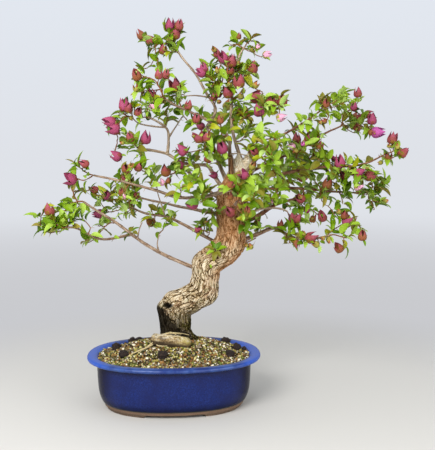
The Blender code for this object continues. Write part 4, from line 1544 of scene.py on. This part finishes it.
lanternPlaces = {  # x and z, lean to the right in degrees and length
    "magenta": (
        (-5, 749, 0, 26), (-129, 556, -80, 28), (-122, 542, -85, 31), (-98, 590, -10, 28),
        (-27, 602, -20, 16), (62, 664, -15, 24), (55, 655, -65, 24), (101, 686, -20, 25),
        (173, 581, -10, 27), (-116, 488, -60, 27), (-208, 441, -70, 27), (8, 468, -70, 26),
        (80, 448, -80, 20), (36, 389, -85, 26), (51, 338, 80, 16), (342, 477, -10, 28), (329, 485, -10, 14),
        (385, 455, 70, 22), (362, 353, 40, 26), (408, 564, 0, 26), (370, 589, 0, 20), (367, 550, -20, 14),
        (98, 506, -20, 28), (276, 379, 30, 18), (-55, 525, 10, 28), (142, 450, -50, 20), (17, 500, -45, 26),
    ),
    "bright": ((422, 536, 85, 30), (265, 513, 0, 11)),
    "rose": (
        (14, 748, 10, 24), (6, 732, 5, 27), (-46, 718, -50, 25), (-19, 700, 10, 23), (-88, 584, 20, 22),
        (-28, 651, 0, 20), (-13, 651, 10, 20), (4, 631, -10, 28), (-43, 612, -15, 22), (-69, 576, 20, 20),
        (31, 590, 10, 20), (47, 564, 10, 20), (88, 694, -20, 20), (119, 679, 10, 27), (162, 666, 15, 27),
        (133, 638, -5, 28), (110, 617, -20, 27), (169, 607, 60, 27), (198, 598, 10, 30), (223, 600, 15, 25),
        (82, 606, -20, 18), (92, 612, 10, 16), (-87, 525, -10, 22), (-180, 472, -60, 21),
        (-161, 419, -80, 20), (-70, 466, 10, 20), (51, 526, -20, 24), (68, 527, 0, 22), (72, 484, 20, 22),
        (-250, 381, -10, 25), (252, 524, 0, 24), (276, 525, 10, 20), (289, 529, 60, 18),
        (164, 498, -45, 20), (115, 375, -45, 26), (259, 401, -60, 24), (244, 360, -10, 22),
        (254, 360, 20, 22), (306, 364, -20, 25), (348, 449, -60, 24), (408, 447, 80, 28),
        (476, 495, 50, 24), (451, 525, 5, 26), (286, 320, 60, 28), (382, 568, 30, 16),
    ),
    "rust": (
        (-73, 649, -20, 23), (133, 727, 10, 14), (95, 561, 0, 18), (116, 659, 0, 20), (136, 577, 0, 22),
        (151, 575, 10, 18), (211, 596, 0, 14), (-96, 463, 0, 20), (-15, 459, 0, 26), (-10, 438, 10, 14),
        (-76, 409, 0, 19), (301, 510, 20, 18), (116, 428, 60, 22), (116, 406, 0, 16), (151, 378, 0, 16),
        (171, 352, 0, 18), (288, 359, 20, 18), (354, 367, 0, 20), (392, 324, 0, 22), (341, 298, -45, 22),
        (254, 305, 170, 18), (220, 349, 0, 18), (318, 432, 20, 26), (378, 446, -30, 20), (444, 488, 0, 18),
        (408, 536, 70, 16), (312, 595, 0, 18), (307, 559, -60, 14), (-105, 416, 0, 14),
    ),
    "olive": (
        (-8, 721, 0, 14), (-73, 623, 0, 15), (90, 660, 0, 15), (168, 631, 40, 16), (137, 609, 0, 16),
        (160, 702, 20, 13), (114, 632, 0, 14), (162, 468, 20, 18), (322, 313, 150, 14), (292, 306, -70, 18),
        (157, 303, -30, 15), (444, 509, 0, 10), (459, 508, 20, 10), (439, 394, 85, 14), (67, 353, 60, 12),
    ),
    "pale": (
        (-37, 587, -60, 22), (221, 566, 75, 22), (191, 691, 70, 20), (172, 707, 45, 13),
        (-23, 435, -30, 16), (242, 507, -60, 18), (201, 396, 0, 11), (383, 424, 80, 20), (-100, 406, 0, 12),
    ),
}
bract = {
    "rows": (  # share of the way, distance from the middle of the group, and height
        (0, 0.03, 0.02), (0.08, 0.2, 0.02), (0.22, 0.32, 0.13), (0.4, 0.35, 0.33), (0.62, 0.29, 0.57),
        (0.83, 0.2, 0.81), (1, 0.12, 1),
    ),
    "sides": 6,
    "wrap": 1.12,  # radians round the group, to each side
    "opens": (0.1, 0.7),  # where it has its full width, and how fast it comes to it
    "closes": (0.42, 0.58, 1.35),  # where it starts to narrow, for how long, and how late
    "point": 0.015,
    "flares": (0.42, 2.2),  # how far a spread tip stands out, and how late
    "midrib": 0.05,
    "apart": 0.012,  # so that the three don't touch
    "lower": 0.14,  # a spread tip hangs this much lower
    "tintRows": (1, 3, 4),  # the foot's tint ends here, there on the midrib, and the belly's tint here
    "forms": ((-0.12, 0), (0.0, 0), (0.12, 0), (0.0, 0.7), (0.3, 0.3), (0.8, 0)),  # spread and spike
    "chance": (5, 6, 4, 3, 2, 0.5),
}


def lanternTemplate(spread, spike=0.0):  # how far the tips stand out, and how far one of them stands apart
    shape = bmesh.new()
    rows, sides = len(bract["rows"]) - 1, bract["sides"]
    full, early = bract["opens"]
    narrows, length, late = bract["closes"]
    flare, lateFlare = bract["flares"]
    for number in range(3):
        apart = spread + (spike if number == 0 else 0)
        made = bmesh.ops.create_grid(shape, x_segments=sides, y_segments=rows, size=0.5)["verts"]
        for vert in made:
            side = vert.co.x * 2
            t, reach, height = bract["rows"][round((vert.co.y + 0.5) * rows)]
            cover = min((t / full) ** early, 1) * (1 - (max(t - narrows, 0) / length) ** late)
            cover += bract["point"]
            rib = bract["midrib"] * (1 - abs(side)) * math.sin(math.pi * t)
            reach += apart * flare * t ** lateFlare + rib + bract["apart"] * number
            angle = side * cover * bract["wrap"] + number * math.tau / 3
            high = height - apart * bract["lower"] * t * t
            vert.co = (reach * math.cos(angle), reach * math.sin(angle), high)
    footRows, midribRows, bellyRows = bract["tintRows"]
    for number, face in enumerate(shape.faces):
        row, column = number % (rows * sides) // sides, number % sides
        middle = column in (sides // 2 - 1, sides // 2)
        if row < footRows or (middle and row < midribRows):
            face.material_index = 0
        elif row < bellyRows:
            face.material_index = 1
        else:
            face.material_index = 2
    return asTemplate(shape)


def addLantern(copies, spot, axis, kind, size, dice):
    side, other = frameAt(axis.normalized(), dice.uniform(0, math.tau))
    turn = Matrix((side, other, axis.normalized())).transposed() * size * mm
    form = dice.choices(range(len(bract["forms"])), bract["chance"])[0]
    copies.append((form, turn, place(spot), list(lanternKinds[kind])))


def makeLanterns(wood, chains, blooms):
    dice = random.Random(lantern["seed"])
    copies, stalks = [], []
    for kind, foot, axis, length, chain in blooms:
        start = wood.spots[chain[-1]]
        if len(chain) == 1:
            stalks.append(([start, start.lerp(foot, 0.5) + up, foot + axis], [0.6, 0.5, 0.6], 0))
        addLantern(copies, foot, axis, kind, length, dice)
        for _ in range(dice.choice(lantern["buds"])):
            aside = Vector([dice.uniform(-1, 1) for _ in range(3)]) + axis * 0.4
            bud = foot + aside.normalized() * dice.uniform(*lantern["budAway"])
            stalks.append(([foot - axis * 2, foot.lerp(bud, 0.5) - axis, bud], [0.5, 0.4, 0.4], 0))
            addLantern(copies, bud, aside, "olive", dice.uniform(*lantern["bud"]), dice)
    for chain in chains:
        if dice.random() > lantern["elsewhere"]:
            continue
        tip, ahead = wood.spots[chain[-1]], wood.heads[chain[-1]]
        if tip.y < lantern["plane"] + lantern["behind"]:
            continue
        axis = (up * 0.7 + ahead * 0.8 + Vector([dice.uniform(-0.6, 0.6) for _ in range(3)])).normalized()
        foot = tip + axis * dice.uniform(*lantern["backStalk"])
        kind = dice.choices(list(lanternKinds), lantern["backKinds"])[0]
        stalks.append(([tip - ahead * 2, tip.lerp(foot, 0.5), foot + axis], [0.6, 0.5, 0.6], 0))
        addLantern(copies, foot, axis, kind, dice.uniform(*lantern["size"]), dice)
    templates = [lanternTemplate(*form) for form in bract["forms"]]
    finishes = [Finish("bract_" + code, code, 0.6, Specular_IOR_Level=0.25) for code in lantern["tints"]]
    joinCopies("bracts", templates, copies, finishes)
    stems("bract_stalks", stalks, [Finish("stalk_green", "6f8a2a", 0.6)], 0)
    print("bract groups:", len(copies))


# Light, floor and camera
camera = {"spot": (-11.1, -1431.7, 471.2), "aim": (84.3, -40, 353.1), "lens": 57.85}
studio = {
    "sky": ("dfe2e8", "e3e9f2"),  # at the horizon and high up
    "skyHigh": 0.28,
    "low": "c9cace",  # nearer, where the backdrop meets the floor: a darker glow, as painted shade
    "surround": ((0.02, 0.2), (0.35, 0.8)),  # height in the sky and strength of its light
    "surroundTint": "e4e8ee",
    "lampAim": (80, 0, 350),
    "key": {"spot": (-700, -1450, 1150), "size": 1.0, "watts": 34},
    "fill": {"spot": (1100, -1300, 500), "size": 1.2, "watts": 11},
    "floor": "cfccc6",
    "floorReach": 12.0,
    "fade": (0.42, 1.0),  # where the floor turns into the backdrop, in metres
    "lowFade": (0.8, 6),  # and where the backdrop's low tone, the painted shade, turns into the sky's
}


def pointAt(thing, spot, aim):
    thing.location = place(spot)
    thing.rotation_euler = (place(aim) - place(spot)).to_track_quat("-Z", "Y").to_euler()


def makeStudio():
    world = bpy.data.worlds.new("studio")
    world.use_nodes = True
    nodes, links = world.node_tree.nodes, world.node_tree.links
    seen = nodes["Background"]
    where = nodes.new("ShaderNodeTexCoord")
    split = nodes.new("ShaderNodeSeparateXYZ")
    links.new(where.outputs["Generated"], split.inputs[0])
    tones = nodes.new("ShaderNodeValToRGB")
    tones.color_ramp.elements[0].color = (*shade(studio["sky"][0]), 1)
    tones.color_ramp.elements[1].position = studio["skyHigh"]
    tones.color_ramp.elements[1].color = (*shade(studio["sky"][1]), 1)
    links.new(split.outputs["Z"], tones.inputs[0])
    links.new(tones.outputs[0], seen.inputs["Color"])
    around = nodes.new("ShaderNodeBackground")
    around.inputs["Color"].default_value = (*shade(studio["surroundTint"]), 1)
    lift = nodes.new("ShaderNodeFloatCurve")
    for height, strength in studio["surround"]:
        lift.mapping.curves[0].points.new(height, strength)
    lift.mapping.update()
    links.new(split.outputs["Z"], lift.inputs["Value"])
    links.new(lift.outputs[0], around.inputs["Strength"])
    rays = nodes.new("ShaderNodeLightPath")
    both = nodes.new("ShaderNodeMixShader")
    links.new(rays.outputs["Is Camera Ray"], both.inputs[0])
    links.new(around.outputs[0], both.inputs[1])
    links.new(seen.outputs[0], both.inputs[2])
    links.new(both.outputs[0], nodes["World Output"].inputs["Surface"])
    bpy.context.scene.world = world
    bpy.context.scene.view_settings.view_transform = "Standard"
    for name in ("key", "fill"):
        lamp = bpy.data.lights.new(name, "AREA")
        lamp.shape = "DISK"
        lamp.size = studio[name]["size"]
        lamp.energy = studio[name]["watts"]
        thing = bpy.data.objects.new(name, lamp)
        bpy.context.scene.collection.objects.link(thing)
        pointAt(thing, studio[name]["spot"], studio["lampAim"])
    makeFloor()
    eye = bpy.data.cameras.new("view")
    eye.lens = camera["lens"]
    thing = bpy.data.objects.new("view", eye)
    bpy.context.scene.collection.objects.link(thing)
    pointAt(thing, camera["spot"], camera["aim"])
    bpy.context.scene.camera = thing


def makeFloor():
    shape = bmesh.new()
    bmesh.ops.create_circle(shape, cap_ends=True, segments=96, radius=studio["floorReach"])
    floor = bpy.data.objects.new("floor", fromShape("floor", shape))
    bpy.context.scene.collection.objects.link(floor)
    paper = Finish("pale_floor", studio["floor"], 0.9, Specular_IOR_Level=0.1)
    distance = paper.node("ShaderNodeVectorMath", {"operation": "LENGTH"}, {0: paper.places()}, 1)
    # painted shade: the glowing backdrop is darker nearer the pot
    tone = paper.mix(paper.slide(distance, *studio["lowFade"]), studio["low"], studio["sky"][0])
    glow = paper.node("ShaderNodeEmission", None, {"Color": tone})
    paper.cover(glow, paper.slide(distance, *studio["fade"]))
    floor.data.materials.append(paper.material)


def makeGround():
    tree = makeSoil()
    makePellets(tree)
    makeRootlets(tree)
    print("soil made")


def makeCrown():
    wood, chains, blooms = growTree()
    print("twigs grown:", len(chains))
    makeTwigs(wood, chains, blooms)
    makeThorns(wood)
    makeLeaves(wood, chains, blooms)
    makeLanterns(wood, chains, blooms)


makeStudio()
makePot()
print("pot made")
makeGround()
makeTrunk()
makeStub()
makeTopRoot()
makeBoughs()
print("trunk and boughs made")
makeCrown()
